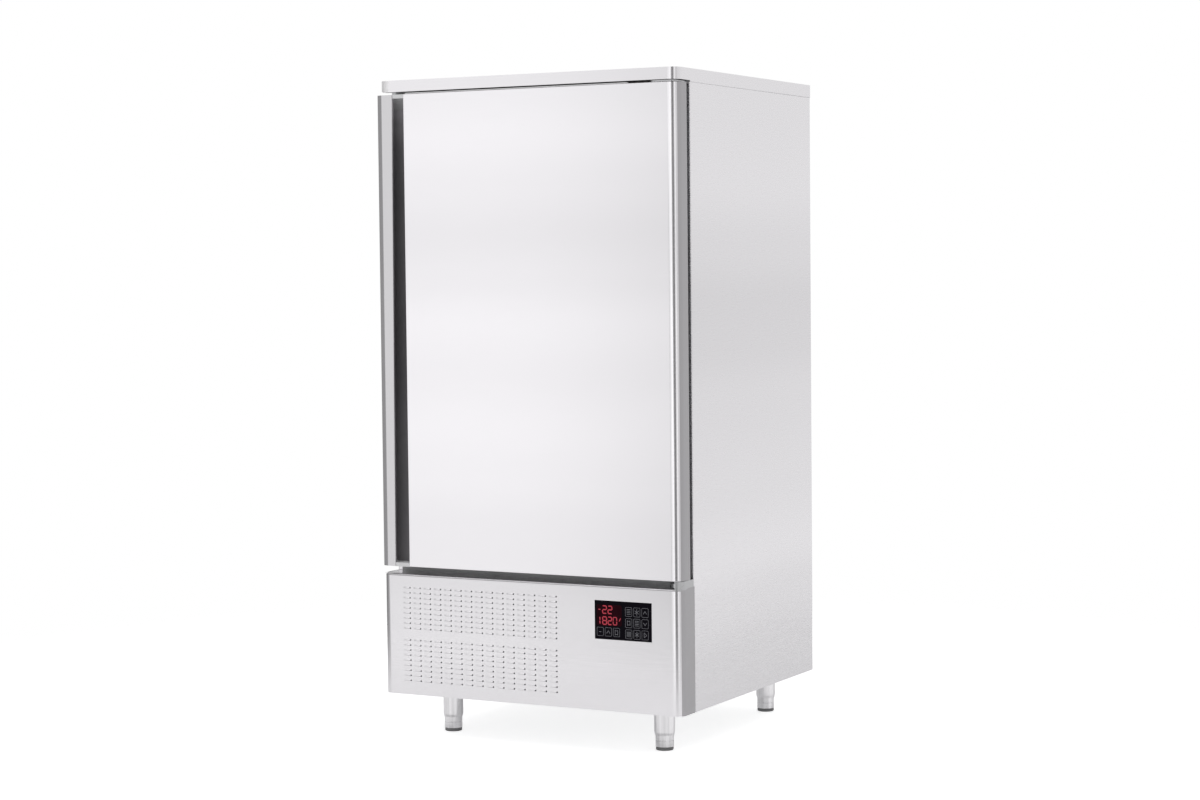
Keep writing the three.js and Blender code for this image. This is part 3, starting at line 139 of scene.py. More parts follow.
# %% World output
ray = node(room, "ShaderNodeLightPath")
plain = node(room, "ShaderNodeBackground", {"Color": (1, 1, 1, 1), "Strength": ROOM_GLOW})
seen = node(room, "ShaderNodeBackground", {"Color": (1, 1, 1, 1), "Strength": 1.0})
card_ring = node(room, "ShaderNodeBackground", {"Color": cards.outputs[0], "Strength": 1.0})
ceiling = node(room, "ShaderNodeBackground", {"Color": (1, 1, 1, 1), "Strength": CEILING_GLOW})
off_level = node(room, "ShaderNodeMath", {0: way.outputs["Z"]}, operation="ABSOLUTE")
above = node(room, "ShaderNodeMapRange", {0: off_level.outputs[0], 1: CARDS_END, 2: CEILING_START},
             interpolation_type="SMOOTHSTEP")
mirrored_room = node(room, "ShaderNodeMixShader", {
    0: above.outputs[0], 1: card_ring.outputs[0], 2: ceiling.outputs[0]})
shiny = node(room, "ShaderNodeMixShader", {
    0: ray.outputs["Is Glossy Ray"], 1: plain.outputs[0], 2: mirrored_room.outputs[0]})
clear_way = node(room, "ShaderNodeMath", {
    0: ray.outputs["Is Camera Ray"], 1: ray.outputs["Is Transmission Ray"]}, operation="MAXIMUM")
whole = node(room, "ShaderNodeMixShader", {0: clear_way.outputs[0], 1: shiny.outputs[0], 2: seen.outputs[0]})
node(room, "ShaderNodeOutputWorld", {0: whole.outputs[0]})
print("world nodes", len(room.nodes))

# %% [markdown]
# ## Lamps
# Large soft lamps wrap round the cabinet and leave hardly any shadow. They hang high, because a
# lamp at eye level would show as a hard glare in the door.

# %% Lamps
LAMPS = {
    "door_lamp": ((-2.4, -3.4, 5.2), (0, 0, 0.7), (2.6, 2.2), 40),
    "side_lamp": ((3.4, -0.4, 4.8), (0.2, 0, 0.6), (2.0, 2.0), 30),
    "top_lamp": ((0.2, -0.6, 4.2), (0, 0, 0), (3.0, 3.0), 26),
}
for name, (place, aim, size, watts) in LAMPS.items():
    lamp = bpy.data.lights.new(name, "AREA")
    lamp.shape, lamp.size, lamp.size_y, lamp.energy = "RECTANGLE", size[0], size[1], watts
    holder = bpy.data.objects.new(name, lamp)
    holder.location = place
    holder.rotation_euler = (Vector(aim) - Vector(place)).to_track_quat("-Z", "Y").to_euler()
    bpy.context.scene.collection.objects.link(holder)
print("lamps", len(LAMPS))

# %% [markdown]
# ## Mesh helpers
# Most sheet-metal pieces start as a copy of their solid: the loose triangles are merged, flat
# regions are joined into single faces, and long edges get a small round, because a folded sheet
# never has a knife edge. Turned pieces are spun from a profile, and long ones are skinned over
# a row of outlines.

# %% A mesh object from points and faces
def mesh_piece(name, points, faces):
    mesh = bpy.data.meshes.new(name)
    mesh.from_pydata([tuple(point) for point in points], [], faces)
    piece = bpy.data.objects.new(name, mesh)
    bpy.context.scene.collection.objects.link(piece)
    return piece


def welded(piece, gap=1e-5, flat_degrees=None):
    work = bmesh.new()
    work.from_mesh(piece.data)
    bmesh.ops.remove_doubles(work, verts=work.verts, dist=gap)
    if flat_degrees:
        bmesh.ops.dissolve_limit(
            work, angle_limit=math.radians(flat_degrees), verts=work.verts, edges=work.edges)
    bmesh.ops.recalc_face_normals(work, faces=work.faces)
    work.to_mesh(piece.data)
    work.free()
    return piece


def copy_of(solid, name):
    mesh = frame["nodes"][solid].data
    points = [vertex.co[:] for vertex in mesh.vertices]
    faces = [polygon.vertices[:] for polygon in mesh.polygons]
    return welded(mesh_piece(name, points, faces), flat_degrees=1)


print("mesh helpers ready")


# %% Skinned, spun and extruded shapes
def skinned(name, rings, closed=False, caps=True):
    count = len(rings[0])
    rows = len(rings)
    faces = []
    for i in range(rows if closed else rows - 1):
        low, high = i * count, ((i + 1) % rows) * count
        faces += [(low + j, low + (j + 1) % count, high + (j + 1) % count, high + j) for j in range(count)]
    if caps and not closed:
        faces += [tuple(reversed(range(count))), tuple(range((rows - 1) * count, rows * count))]
    return welded(mesh_piece(name, [point for ring in rings for point in ring], faces))


def spun(name, profile, centre, axis="Z", steps=48):
    """A profile of (radius, along) pairs turned about an axis through the centre."""
    rings = []
    for radius, along in profile:
        ring = []
        for step in range(steps):
            angle = 2 * math.pi * step / steps
            a, b = radius * math.cos(angle), radius * math.sin(angle)
            ring.append(Vector(centre) + Vector((a, b, along) if axis == "Z" else (a, along, b)))
        rings.append(ring)
    return skinned(name, rings, caps=False)


def extruded(name, outline, low, high, axis="Z"):
    def place(a, b, along):
        return {"Z": (a, b, along), "Y": (a, along, b), "X": (along, a, b)}[axis]
    return skinned(name, [[place(a, b, along) for a, b in outline] for along in (low, high)])


print("shape helpers ready")


# %% Rounded outlines
def rounded(path, steps=4):
    """Rounds the corners of a closed path of (x, y, radius) points."""
    outline = []
    for i, (x, y, radius) in enumerate(path):
        corner = Vector((x, y))
        if radius <= 0:
            outline.append((x, y))
            continue
        before = (Vector(path[i - 1][:2]) - corner).normalized()
        after = (Vector(path[(i + 1) % len(path)][:2]) - corner).normalized()
        half = before.angle(after) / 2
        centre = corner + (before + after).normalized() * radius / math.sin(half)
        first = corner + before * radius / math.tan(half) - centre
        turn = math.pi - 2 * half
        way = math.copysign(1, after.x * before.y - after.y * before.x)
        for step in range(steps + 1):
            angle = way * turn * step / steps
            spoke = (first.x * math.cos(angle) - first.y * math.sin(angle),
                     first.x * math.sin(angle) + first.y * math.cos(angle))
            outline.append((centre.x + spoke[0], centre.y + spoke[1]))
    return outline


def oblong(a0, a1, b0, b1):
    return [(a0, b0), (a1, b0), (a1, b1), (a0, b1)]


def rounded_box(x0, x1, y0, y1, radius, steps=4):
    return rounded([(x0, y0, radius), (x1, y0, radius), (x1, y1, radius), (x0, y1, radius)], steps)


print("outline points of a rounded square", len(rounded_box(0, 1, 0, 1, 0.1)))


# %% Softened edges
def softened(piece, width, shortest=0.0, sharper_than=35, segments=2):
    """Rounds every edge that is sharper and longer than the limits."""
    work = bmesh.new()
    work.from_mesh(piece.data)
    weight = work.edges.layers.float.new("bevel_weight_edge")
    chosen = 0
    for edge in work.edges:
        sharp = len(edge.link_faces) == 2 and edge.calc_face_angle() > math.radians(sharper_than)
        if sharp and edge.calc_length() >= shortest:
            edge[weight] = 1.0
            chosen += 1
    work.to_mesh(piece.data)
    work.free()
    bevel = piece.modifiers.new("soft_edges", "BEVEL")
    bevel.width, bevel.segments, bevel.limit_method = width, segments, "WEIGHT"
    bevel.use_clamp_overlap = True
    return chosen


FRONT_ZONE = -0.345  # the folded front edges all lie before this


def rolled(piece, level, radius, steps=5):
    """Gives the outer front edge of a folded sheet at one level the wide round of a press bend."""
    work = bmesh.new()
    work.from_mesh(piece.data)
    chosen = []
    for edge in work.edges:
        level_edge = all(abs(vertex.co.z - level) < 0.05 * MM for vertex in edge.verts)
        if not level_edge or len(edge.link_faces) != 2:
            continue
        middle = (edge.verts[0].co + edge.verts[1].co) / 2
        upright = [face for face in edge.link_faces if abs(face.normal.z) < 0.3]
        if len(upright) == 1 and middle.y < FRONT_ZONE and upright[0].normal.y < 0.2 and (
                upright[0].normal.x * middle.x + upright[0].normal.y * middle.y > 0):
            chosen.append(edge)
    bmesh.ops.bevel(work, geom=chosen, offset=radius, offset_type="OFFSET", segments=steps, profile=0.5,
                    affect="EDGES", clamp_overlap=False)
    work.to_mesh(piece.data)
    work.free()
    return len(chosen)


def baked(piece):
    """Turns a piece and its modifiers into one plain mesh."""
    graph = bpy.context.evaluated_depsgraph_get()
    mesh = bpy.data.meshes.new_from_object(piece.evaluated_get(graph))
    piece.modifiers.clear()
    piece.data = mesh
    return piece


def smooth(piece, degrees=32):
    piece.data.shade_smooth()
    piece.data.set_sharp_from_angle(angle=math.radians(degrees))
    piece.modifiers.new("even_shading", "WEIGHTED_NORMAL").keep_sharp = True
    return baked(piece)


def painted(piece, *finishes):
    piece.data.materials.clear()
    for finish in finishes:
        piece.data.materials.append(finish)
    return piece


PIECES = []


def fitted(piece, body, slot, *solids):
    """Hands a finished piece to the frame: what it rides on, its finish slot (not used), the solids it
    covers.
    """
    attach(piece, body)
    if solids:
        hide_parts(*solids)
    PIECES.append(piece)
    return piece


print("finishing helpers ready")

# %% [markdown]
# ## Finishes
# Every finish is a small network on object coordinates. Two noises do most of the work: a fine
# one stretched along the grain gives the brushing, and a slow one changes colour and gloss a
# little from place to place, because no real sheet is even. A bump from the fine noise tilts
# the reflections. Numbers that are the same all over go straight on the shader's own sockets.

# %% The common network
def finish(name, colour, roughness, metallic, grain=(400, 400, 400), grain_tone=0.04, grain_gloss=0.06,
           patch=4.0, patch_tone=0.03, bump=0.02, bump_depth=0.0004, patch_stretch=(1, 1, 1)):
    material = bpy.data.materials.new(name)
    material.use_nodes = True
    tree = material.node_tree
    shader = tree.nodes["Principled BSDF"]
    place = node(tree, "ShaderNodeTexCoord").outputs["Object"]
    lengthwise = node(tree, "ShaderNodeMapping", {"Vector": place, "Scale": grain})
    fine = node(tree, "ShaderNodeTexNoise", {"Vector": lengthwise.outputs[0], "Scale": 1.0, "Detail": 4.0})
    wide = node(tree, "ShaderNodeMapping", {"Vector": place, "Scale": patch_stretch})
    slow = node(tree, "ShaderNodeTexNoise", {"Vector": wide.outputs[0], "Scale": patch, "Detail": 2.0})

    def between(source, low, high):
        return node(tree, "ShaderNodeMapRange", {0: source, 1: 0.3, 2: 0.7, 3: low, 4: high}).outputs[0]
    fine_tone = between(fine.outputs["Fac"], 1 - grain_tone, 1 + grain_tone)
    tone = node(tree, "ShaderNodeMath", {
        0: fine_tone, 1: between(slow.outputs["Fac"], 1 - patch_tone, 1 + patch_tone)}, operation="MULTIPLY")
    tinted = node(tree, "ShaderNodeVectorMath", {0: colour[:3], "Scale": tone.outputs[0]}, operation="SCALE")
    tree.links.new(tinted.outputs[0], shader.inputs["Base Color"])
    gloss = node(tree, "ShaderNodeMath", {
        0: between(fine.outputs["Fac"], roughness - grain_gloss, roughness + grain_gloss),
        1: between(slow.outputs["Fac"], -grain_gloss / 2, grain_gloss / 2)}, operation="ADD")
    tree.links.new(gloss.outputs[0], shader.inputs["Roughness"])
    shader.inputs["Metallic"].default_value = metallic
    relief = node(tree, "ShaderNodeBump", {
        "Strength": bump, "Distance": bump_depth, "Height": fine.outputs["Fac"]})
    tree.links.new(relief.outputs[0], shader.inputs["Normal"])
    material.diffuse_color = (*colour[:3], 1)
    return material


print("common network ready")

# %% [markdown]
# Stainless sheet for kitchens is brushed lengthwise: the scratches run level round the cabinet, so
# the grain noise is fine in height and about 60 times longer along X and Y. The grip's lip is
# darker, the folded returns are darker still with painted shade, and the grain of both runs upright.

# %% Steels
door_steel = finish("door_steel", (0.84, 0.825, 0.848), 0.17, 1.0, grain=(18, 18, 1100), grain_tone=0.015,
                    grain_gloss=0.03, patch=1.6, patch_tone=0.01, patch_stretch=(0.4, 1, 2.6), bump=0.03)
panel_steel = finish("panel_steel", (0.742, 0.729, 0.749), 0.18, 1.0, grain=(18, 18, 1100), grain_tone=0.015,
                     grain_gloss=0.03, patch=2.2, patch_tone=0.02, patch_stretch=(0.5, 1, 2.0), bump=0.03)
fascia_steel = finish("fascia_steel", (0.785, 0.771, 0.792), 0.20, 1.0, grain=(18, 18, 1100),
                      grain_tone=0.015, grain_gloss=0.03, patch=2.6, patch_tone=0.02,
                      patch_stretch=(1.2, 1, 1), bump=0.03)
side_steel = finish("side_steel", (0.845, 0.83, 0.852), 0.28, 1.0, grain=(18, 18, 900), grain_tone=0.009,
                    grain_gloss=0.015, patch=1.1, patch_tone=0.012, patch_stretch=(1, 0.7, 1.0), bump=0.007)
lip_steel = finish("lip_steel", (0.615, 0.605, 0.62), 0.22, 1.0, grain=(900, 900, 12), grain_tone=0.02,
                   grain_gloss=0.03, patch=2.0, patch_tone=0.015, bump=0.03)
# Painted shade: the returns are the same steel, darkened to stand in for their shade.
return_steel = finish("return_steel", (0.41, 0.402, 0.414), 0.36, 1.0, grain=(900, 900, 14), grain_tone=0.03,
                      grain_gloss=0.04, patch=2.5, patch_tone=0.02, bump=0.04)
liner_steel = finish("liner_steel", (0.74, 0.75, 0.76), 0.26, 1.0, grain=(900, 14, 14), grain_tone=0.02,
                     patch=2.0, patch_tone=0.02, bump=0.03)
leg_steel = finish("leg_steel", (0.82, 0.81, 0.825), 0.20, 1.0, grain=(95, 95, 1.5), grain_tone=0.20,
                   grain_gloss=0.05, patch=8.0, patch_tone=0.03, bump=0.04)
ground_steel = finish("ground_steel", (0.93, 0.92, 0.93), 0.62, 1.0, grain=(350, 350, 350), grain_tone=0.04,
                      patch=9.0, patch_tone=0.03, bump=0.1)
cut_edge = finish("cut_edge", (0.52, 0.525, 0.53), 0.42, 1.0, grain=(700, 700, 700), patch=6.0)
print("steels ready")

# %% [markdown]
# The broad soft bands that a studio's reflections draw across brushed steel, a few hundredths
# lighter or darker, are painted into the colour here as a painted reflection. On the door, the
# sides and the lower panel they run level from edge to edge, so the tone is a curve of the height,
# with a slow noise that makes each band wander a little. The same helper paints shade into the
# hollow of the grip, darker away from its lighter top.


# %% Painted reflection bands and painted shade, by height
def painted_light_by_height(material, levels, wander=0.05):
    """Multiplies a finish by (height in metres, tone) pairs, from the lowest to the highest, to paint
    reflection bands and shade into its colour.
    """
    tree = material.node_tree
    shader = tree.nodes["Principled BSDF"]
    place = node(tree, "ShaderNodeTexCoord").outputs["Object"]
    height = node(tree, "ShaderNodeSeparateXYZ", {0: place})
    drift = node(tree, "ShaderNodeTexNoise", {"Vector": place, "Scale": 1.7, "Detail": 1.0})
    wandered = node(tree, "ShaderNodeMath", {0: drift.outputs["Fac"], 1: wander, 2: height.outputs["Z"]},
                    operation="MULTIPLY_ADD")
    lowest, highest = levels[0][0], levels[-1][0]
    share = node(tree, "ShaderNodeMapRange", {
        0: wandered.outputs[0], 1: lowest + wander / 2, 2: highest + wander / 2})
    ramp = node(tree, "ShaderNodeValToRGB", {0: share.outputs[0]})
    ramp.color_ramp.interpolation = "EASE"
    while len(ramp.color_ramp.elements) < len(levels):
        ramp.color_ramp.elements.new(0.5)
    for element, (level, tone) in zip(ramp.color_ramp.elements, levels):
        element.position = (level - lowest) / (highest - lowest)
    for element, (level, tone) in zip(ramp.color_ramp.elements, levels):
        element.color = (tone, tone, tone, 1)
    old = shader.inputs["Base Color"].links[0].from_socket
    mixed = node(tree, "ShaderNodeVectorMath", {0: old, 1: ramp.outputs[0]}, operation="MULTIPLY")
    tree.links.new(mixed.outputs[0], shader.inputs["Base Color"])
    return len(levels)


# Painted reflection: level bands of the studio's reflection, painted into the colour of the door, side and
# panel steel.
DOOR_REFLECTION_BANDS = [(0.41, 0.93), (0.50, 0.935), (0.62, 0.975), (0.74, 1.0), (0.86, 0.975), (0.98, 1.0),
              (1.09, 0.95), (1.19, 0.922), (1.30, 0.96), (1.415, 1.0), (1.52, 0.97)]
SIDE_REFLECTION_BANDS = [(0.10, 0.86), (0.20, 0.875), (0.33, 0.94), (0.435, 1.0), (0.60, 0.955), (0.80, 0.925),
              (0.93, 0.875), (1.03, 0.866), (1.15, 0.915), (1.31, 0.98), (1.53, 0.96)]
PANEL_REFLECTION_BANDS = [(0.10, 1.05), (0.19, 1.03), (0.29, 0.965), (0.39, 0.925)]
print("bands", painted_light_by_height(door_steel, DOOR_REFLECTION_BANDS), painted_light_by_height(side_steel, SIDE_REFLECTION_BANDS),
      painted_light_by_height(panel_steel, PANEL_REFLECTION_BANDS, 0.02))

# %% [markdown]
# The rest: galvanised sheet has large dull crystals, cast metal is finely pitted, moulded
# plastics have a fine spark grain, copper has tarnish patches, foam has cells.

# %% Other metals and plastics
hinge_metal = finish("hinge_metal", (0.50, 0.50, 0.51), 0.34, 1.0, grain=(500, 500, 500), patch=30.0,
                     bump=0.08)
motor_metal = finish("motor_metal", (0.42, 0.43, 0.44), 0.5, 0.8, grain=(900, 900, 900), patch=18.0,
                     patch_tone=0.06, bump=0.2)
copper = finish("copper", (0.69, 0.38, 0.24), 0.33, 1.0, grain=(200, 200, 40), patch=22.0, patch_tone=0.18)
fin_aluminium = finish("fin_aluminium", (0.72, 0.74, 0.75), 0.4, 1.0, grain=(60, 60, 900), patch=9.0)
black_enamel = finish("black_enamel", (0.035, 0.037, 0.04), 0.28, 0.0, grain=(260, 260, 260), patch=14.0,
                      patch_tone=0.12, bump=0.12)
black_plastic = finish("black_plastic", (0.03, 0.03, 0.032), 0.55, 0.0, grain=(1400, 1400, 1400),
                       patch=20.0, patch_tone=0.08, bump=0.25, bump_depth=0.0002)
recess_plastic = finish("recess_plastic", (0.52, 0.502, 0.526), 0.5, 0.0, grain=(900, 900, 60),
                        patch=5.0, patch_tone=0.08, bump=0.1)
grey_plastic = finish("grey_plastic", (0.19, 0.195, 0.205), 0.5, 0.0, grain=(1200, 1200, 1200),
                      patch=16.0, bump=0.2, bump_depth=0.0002)
cap_plastic = finish("cap_plastic", (0.82, 0.82, 0.83), 0.42, 0.0, grain=(1200, 1200, 1200),
                     patch=16.0, bump=0.15, bump_depth=0.0002)
seal_rubber = finish("seal_rubber", (0.075, 0.075, 0.08), 0.62, 0.0, grain=(900, 900, 900),
                     patch=12.0, patch_tone=0.1, bump=0.05, bump_depth=0.0003)
surround_plastic = finish("surround_plastic", (0.52, 0.525, 0.53), 0.45, 0.0, grain=(1000, 1000, 1000),
                          patch=10.0, bump=0.15, bump_depth=0.0002)
bush_nylon = finish("bush_nylon", (0.62, 0.61, 0.60), 0.4, 0.0, grain=(900, 900, 900), patch=20.0, bump=0.1)
sealant = finish("sealant", (0.70, 0.69, 0.705), 0.35, 0.0, grain=(300, 300, 300), patch=12.0, bump=0.2)
scoop_plastic = finish("scoop_plastic", (0.82, 0.82, 0.83), 0.42, 0.0, grain=(1200, 1200, 1200),
                       patch=16.0, bump=0.15, bump_depth=0.0002)
# Painted shade: the scoop and the hollow of the grip darken away from the lit top, as shade falls inside the
# channel.
SCOOP_SHADE_BANDS = [(1.484, 0.60), (1.492, 0.66), (1.500, 0.78), (1.511, 0.98)]
RECESS_SHADE_BANDS = [(0.41, 0.49), (0.55, 0.42), (0.90, 0.34), (1.25, 0.34), (1.39, 0.42), (1.45, 0.64),
                (1.48, 0.92), (1.50, 1.0)]
painted_light_by_height(scoop_plastic, SCOOP_SHADE_BANDS, 0.002)
painted_light_by_height(recess_plastic, RECESS_SHADE_BANDS, 0.01)
shelf_steel = finish("shelf_steel", (0.86, 0.85, 0.865), 0.30, 1.0, grain=(400, 400, 400), patch=7.0)
# Painted shade: the lower bracket's coat is darkened to stand in for the shade in the gap under the door.
bracket_metal = finish("bracket_metal", (0.14, 0.14, 0.145), 0.42, 0.9, grain=(500, 500, 500),
                       patch=30.0, bump=0.08)
pad_rubber = finish("pad_rubber", (0.27, 0.268, 0.272), 0.7, 0.0, grain=(900, 900, 900), patch=25.0,
                    bump=0.3)
print("finishes", len(bpy.data.materials))


# %% Zinc crystals and foam cells
def crystals(material, cell_scale, tone_low, tone_high, depth):
    """Adds Voronoi cells to a finish: each cell has its own tone, and its edge a small step."""
    tree = material.node_tree
    shader = tree.nodes["Principled BSDF"]
    place = node(tree, "ShaderNodeTexCoord").outputs["Object"]
    cells = node(tree, "ShaderNodeTexVoronoi", {"Vector": place, "Scale": cell_scale})
    split = node(tree, "ShaderNodeSeparateColor", {0: cells.outputs["Color"]})
    tone = node(tree, "ShaderNodeMapRange", {0: split.outputs[0], 3: tone_low, 4: tone_high})
    old = shader.inputs["Base Color"].links[0].from_socket
    mixed = node(tree, "ShaderNodeVectorMath", {0: old, "Scale": tone.outputs[0]}, operation="SCALE")
    tree.links.new(mixed.outputs[0], shader.inputs["Base Color"])
    before = shader.inputs["Normal"].links[0].from_socket
    relief = node(tree, "ShaderNodeBump", {
        "Strength": 0.5, "Distance": depth, "Height": cells.outputs["Distance"], "Normal": before})
    tree.links.new(relief.outputs[0], shader.inputs["Normal"])
    return material


ZINC_CELLS, FOAM_CELLS = 70.0, 600.0  # cells in a metre
zinc = crystals(finish("zinc", (0.62, 0.625, 0.635), 0.42, 1.0, grain=(120, 120, 120), patch=5.0),
                ZINC_CELLS, 0.86, 1.08, 0.0002)
foam = crystals(finish("foam", (0.80, 0.71, 0.46), 0.9, 0.0, grain=(300, 300, 300), patch=8.0),
                FOAM_CELLS, 0.9, 1.05, 0.0006)
print("crystal size about", round(1000 / ZINC_CELLS), "mm")

# %% [markdown]
# The control face is black glass over a display with a dark red window. The digits glow red, and
# the key outlines are printed grey. The two dark finishes hardly shine, so they stay black.

# %% Glass, glow and print
control_glass = finish("control_glass", (0.004, 0.003, 0.006), 0.12, 0.0, grain=(60, 60, 60), grain_tone=0.05,
                       grain_gloss=0.02, patch=6.0, bump=0.01, bump_depth=0.0001)
key_print = finish("key_print", (0.24, 0.24, 0.265), 0.4, 0.0, grain=(900, 900, 900), patch=30.0)
window_tint = finish("window_tint", (0.019, 0.002, 0.005), 0.3, 0.0, grain=(60, 60, 60), patch=30.0,
                     patch_tone=0.3)
for dark in (control_glass, window_tint):
    dark.node_tree.nodes["Principled BSDF"].inputs["Specular IOR Level"].default_value = 0.03
digit_glow = finish("digit_glow", (0.42, 0.028, 0.05), 0.4, 0.0, grain=(600, 600, 600), patch=40.0)
glow = digit_glow.node_tree.nodes["Principled BSDF"]
glow.inputs["Emission Color"].default_value = (1.0, 0.06, 0.11, 1)
glow.inputs["Emission Strength"].default_value = 0.12
print("control finishes ready")

# %% [markdown]
# ## Geometry Nodes that repeat a shape
# Slots, fins, rivets and keys stand in rows and columns. One tree does them all: it makes a line
# of points, a line on each of those, and so on, and puts the incoming shape on every point.
# Realize Instances and Set Material close it, so that the result is a plain mesh.

# %% The rows-and-columns tree
def tree_with(name, inputs):
    tree = bpy.data.node_groups.new(name, "GeometryNodeTree")
    tree.interface.new_socket("Geometry", in_out="OUTPUT", socket_type="NodeSocketGeometry")
    tree.interface.new_socket("Geometry", in_out="INPUT", socket_type="NodeSocketGeometry")
    for label, kind in inputs:
        tree.interface.new_socket(label, in_out="INPUT", socket_type="NodeSocket" + kind)
    return tree, node(tree, "NodeGroupInput"), node(tree, "NodeGroupOutput")


def on_points(tree, points, instance, **more):
    placed = node(tree, "GeometryNodeInstanceOnPoints", {"Points": points, "Instance": instance, **more})
    return node(tree, "GeometryNodeRealizeInstances", {0: placed.outputs[0]}).outputs[0]


rows_and_columns, given, result = tree_with("rows_and_columns", [
    ("Columns", "Int"), ("Rows", "Int"), ("Fields", "Int"), ("Column Step", "Vector"),
    ("Row Step", "Vector"), ("Field Step", "Vector"), ("Finish", "Material")])
lines = [
    node(rows_and_columns, "GeometryNodeMeshLine", {
        "Count": given.outputs[count], "Offset": given.outputs[step]}, mode="OFFSET").outputs[0]
    for count, step in (("Columns", "Column Step"), ("Rows", "Row Step"), ("Fields", "Field Step"))]
places = on_points(rows_and_columns, on_points(rows_and_columns, lines[0], lines[1]), lines[2])
many = on_points(rows_and_columns, places, given.outputs["Geometry"])
coated = node(rows_and_columns, "GeometryNodeSetMaterial", {
    "Geometry": many, "Material": given.outputs["Finish"]})
rows_and_columns.links.new(coated.outputs[0], result.inputs[0])
print("tree", rows_and_columns.name, "with", len(rows_and_columns.nodes), "nodes")

# %% [markdown]
# Fan blades and feet stand round an axis instead. This tree puts copies on one point, each turned
# a step further, and needs only a count, the turn for one step and the centre.

# %% The round-an-axis tree
round_an_axis, given, result = tree_with("round_an_axis", [
    ("Count", "Int"), ("Step Turn", "Vector"), ("Centre", "Vector"), ("Finish", "Material")])
stack = node(round_an_axis, "GeometryNodeMeshLine", {
    "Count": given.outputs["Count"], "Start Location": given.outputs["Centre"], "Offset": (0, 0, 0)},
    mode="OFFSET")
number = node(round_an_axis, "GeometryNodeInputIndex")
turned = node(round_an_axis, "ShaderNodeVectorMath", {
    0: given.outputs["Step Turn"], "Scale": number.outputs[0]}, operation="SCALE")
as_turn = node(round_an_axis, "FunctionNodeEulerToRotation", {0: turned.outputs[0]})
ring_of_copies = on_points(round_an_axis, stack.outputs[0], given.outputs["Geometry"],
                           Rotation=as_turn.outputs[0])
coated = node(round_an_axis, "GeometryNodeSetMaterial", {
    "Geometry": ring_of_copies, "Material": given.outputs["Finish"]})
round_an_axis.links.new(coated.outputs[0], result.inputs[0])


def repeated(piece, tree, **values):
    """Runs a tree on a piece with the named inputs and bakes the result into a plain mesh."""
    modifier = piece.modifiers.new(tree.name, "NODES")
    modifier.node_group = tree
    for item in tree.interface.items_tree:
        key = item.name.replace(" ", "_").lower()
        if getattr(item, "in_out", "") == "INPUT" and key in values:
            modifier[item.identifier] = values[key]
    return baked(piece)


print("tree", round_an_axis.name, "ready")

# %% [markdown]
# A fan guard is wire: rings at even distances, crossed by spokes. The tree scales one circle for
# each ring, turns one straight line for each spoke, and gives all of them a round section.

# %% The wire-guard tree
wire_guard, given, result = tree_with("wire_guard", [
    ("Radius", "Float"), ("Rings", "Int"), ("Spokes", "Int"), ("Wire", "Float"), ("Centre", "Vector"),
    ("Finish", "Material")])
ring_points = node(wire_guard, "GeometryNodeMeshLine", {
    "Count": given.outputs["Rings"], "Start Location": given.outputs["Centre"], "Offset": (0, 0, 0)},
    mode="OFFSET")
number = node(wire_guard, "GeometryNodeInputIndex")
from_one = node(wire_guard, "ShaderNodeMath", {0: number.outputs[0], 1: 1.0}, operation="ADD")
share = node(wire_guard, "ShaderNodeMath", {
    0: from_one.outputs[0], 1: given.outputs["Rings"]}, operation="DIVIDE")
reach = node(wire_guard, "ShaderNodeMath", {
    0: share.outputs[0], 1: given.outputs["Radius"]}, operation="MULTIPLY")
upright = node(wire_guard, "FunctionNodeEulerToRotation", {0: (math.pi / 2, 0, 0)})
circle = node(wire_guard, "GeometryNodeCurvePrimitiveCircle", {"Resolution": 56, "Radius": 1.0})
rings = on_points(wire_guard, ring_points.outputs[0], circle.outputs[0],
                  Rotation=upright.outputs[0], Scale=reach.outputs[0])
spoke_points = node(wire_guard, "GeometryNodeMeshLine", {
    "Count": given.outputs["Spokes"], "Start Location": given.outputs["Centre"], "Offset": (0, 0, 0)},
    mode="OFFSET")
step = node(wire_guard, "ShaderNodeMath", {0: 2 * math.pi, 1: given.outputs["Spokes"]}, operation="DIVIDE")
angle = node(wire_guard, "ShaderNodeMath", {0: number.outputs[0], 1: step.outputs[0]}, operation="MULTIPLY")
spoke_turn = node(wire_guard, "FunctionNodeEulerToRotation", {
    0: node(wire_guard, "ShaderNodeCombineXYZ", {"Y": angle.outputs[0]}).outputs[0]})
tip = node(wire_guard, "ShaderNodeCombineXYZ", {"X": given.outputs["Radius"]})
line = node(wire_guard, "GeometryNodeCurvePrimitiveLine", {"Start": (0.02, 0, 0), "End": tip.outputs[0]})
spokes = on_points(wire_guard, spoke_points.outputs[0], line.outputs[0], Rotation=spoke_turn.outputs[0])
wires = node(wire_guard, "GeometryNodeJoinGeometry", {0: rings})
wire_guard.links.new(spokes, wires.inputs[0])
even = node(wire_guard, "GeometryNodeSetCurveRadius", {"Curve": wires.outputs[0], "Radius": 1.0})
half_wire = node(wire_guard, "ShaderNodeMath", {0: given.outputs["Wire"], 1: 0.5}, operation="MULTIPLY")
section = node(wire_guard, "GeometryNodeCurvePrimitiveCircle", {
    "Resolution": 8, "Radius": half_wire.outputs[0]})
tubes = node(wire_guard, "GeometryNodeCurveToMesh", {
    "Curve": even.outputs[0], "Profile Curve": section.outputs[0], "Fill Caps": True})
coated = node(wire_guard, "GeometryNodeSetMaterial", {
    "Geometry": tubes.outputs[0], "Material": given.outputs["Finish"]})
wire_guard.links.new(coated.outputs[0], result.inputs[0])
print("tree", wire_guard.name, "with", len(wire_guard.nodes), "nodes")

# %% [markdown]
# ## The folded sheets of the cabinet
# Side panels, top cover and back are folded from one sheet each. Their solids already have the
# folds, so a copy with merged faces and a half-millimetre round on the long edges is enough, and
# smooth shading turns the few facets of each bend into one round reflection.

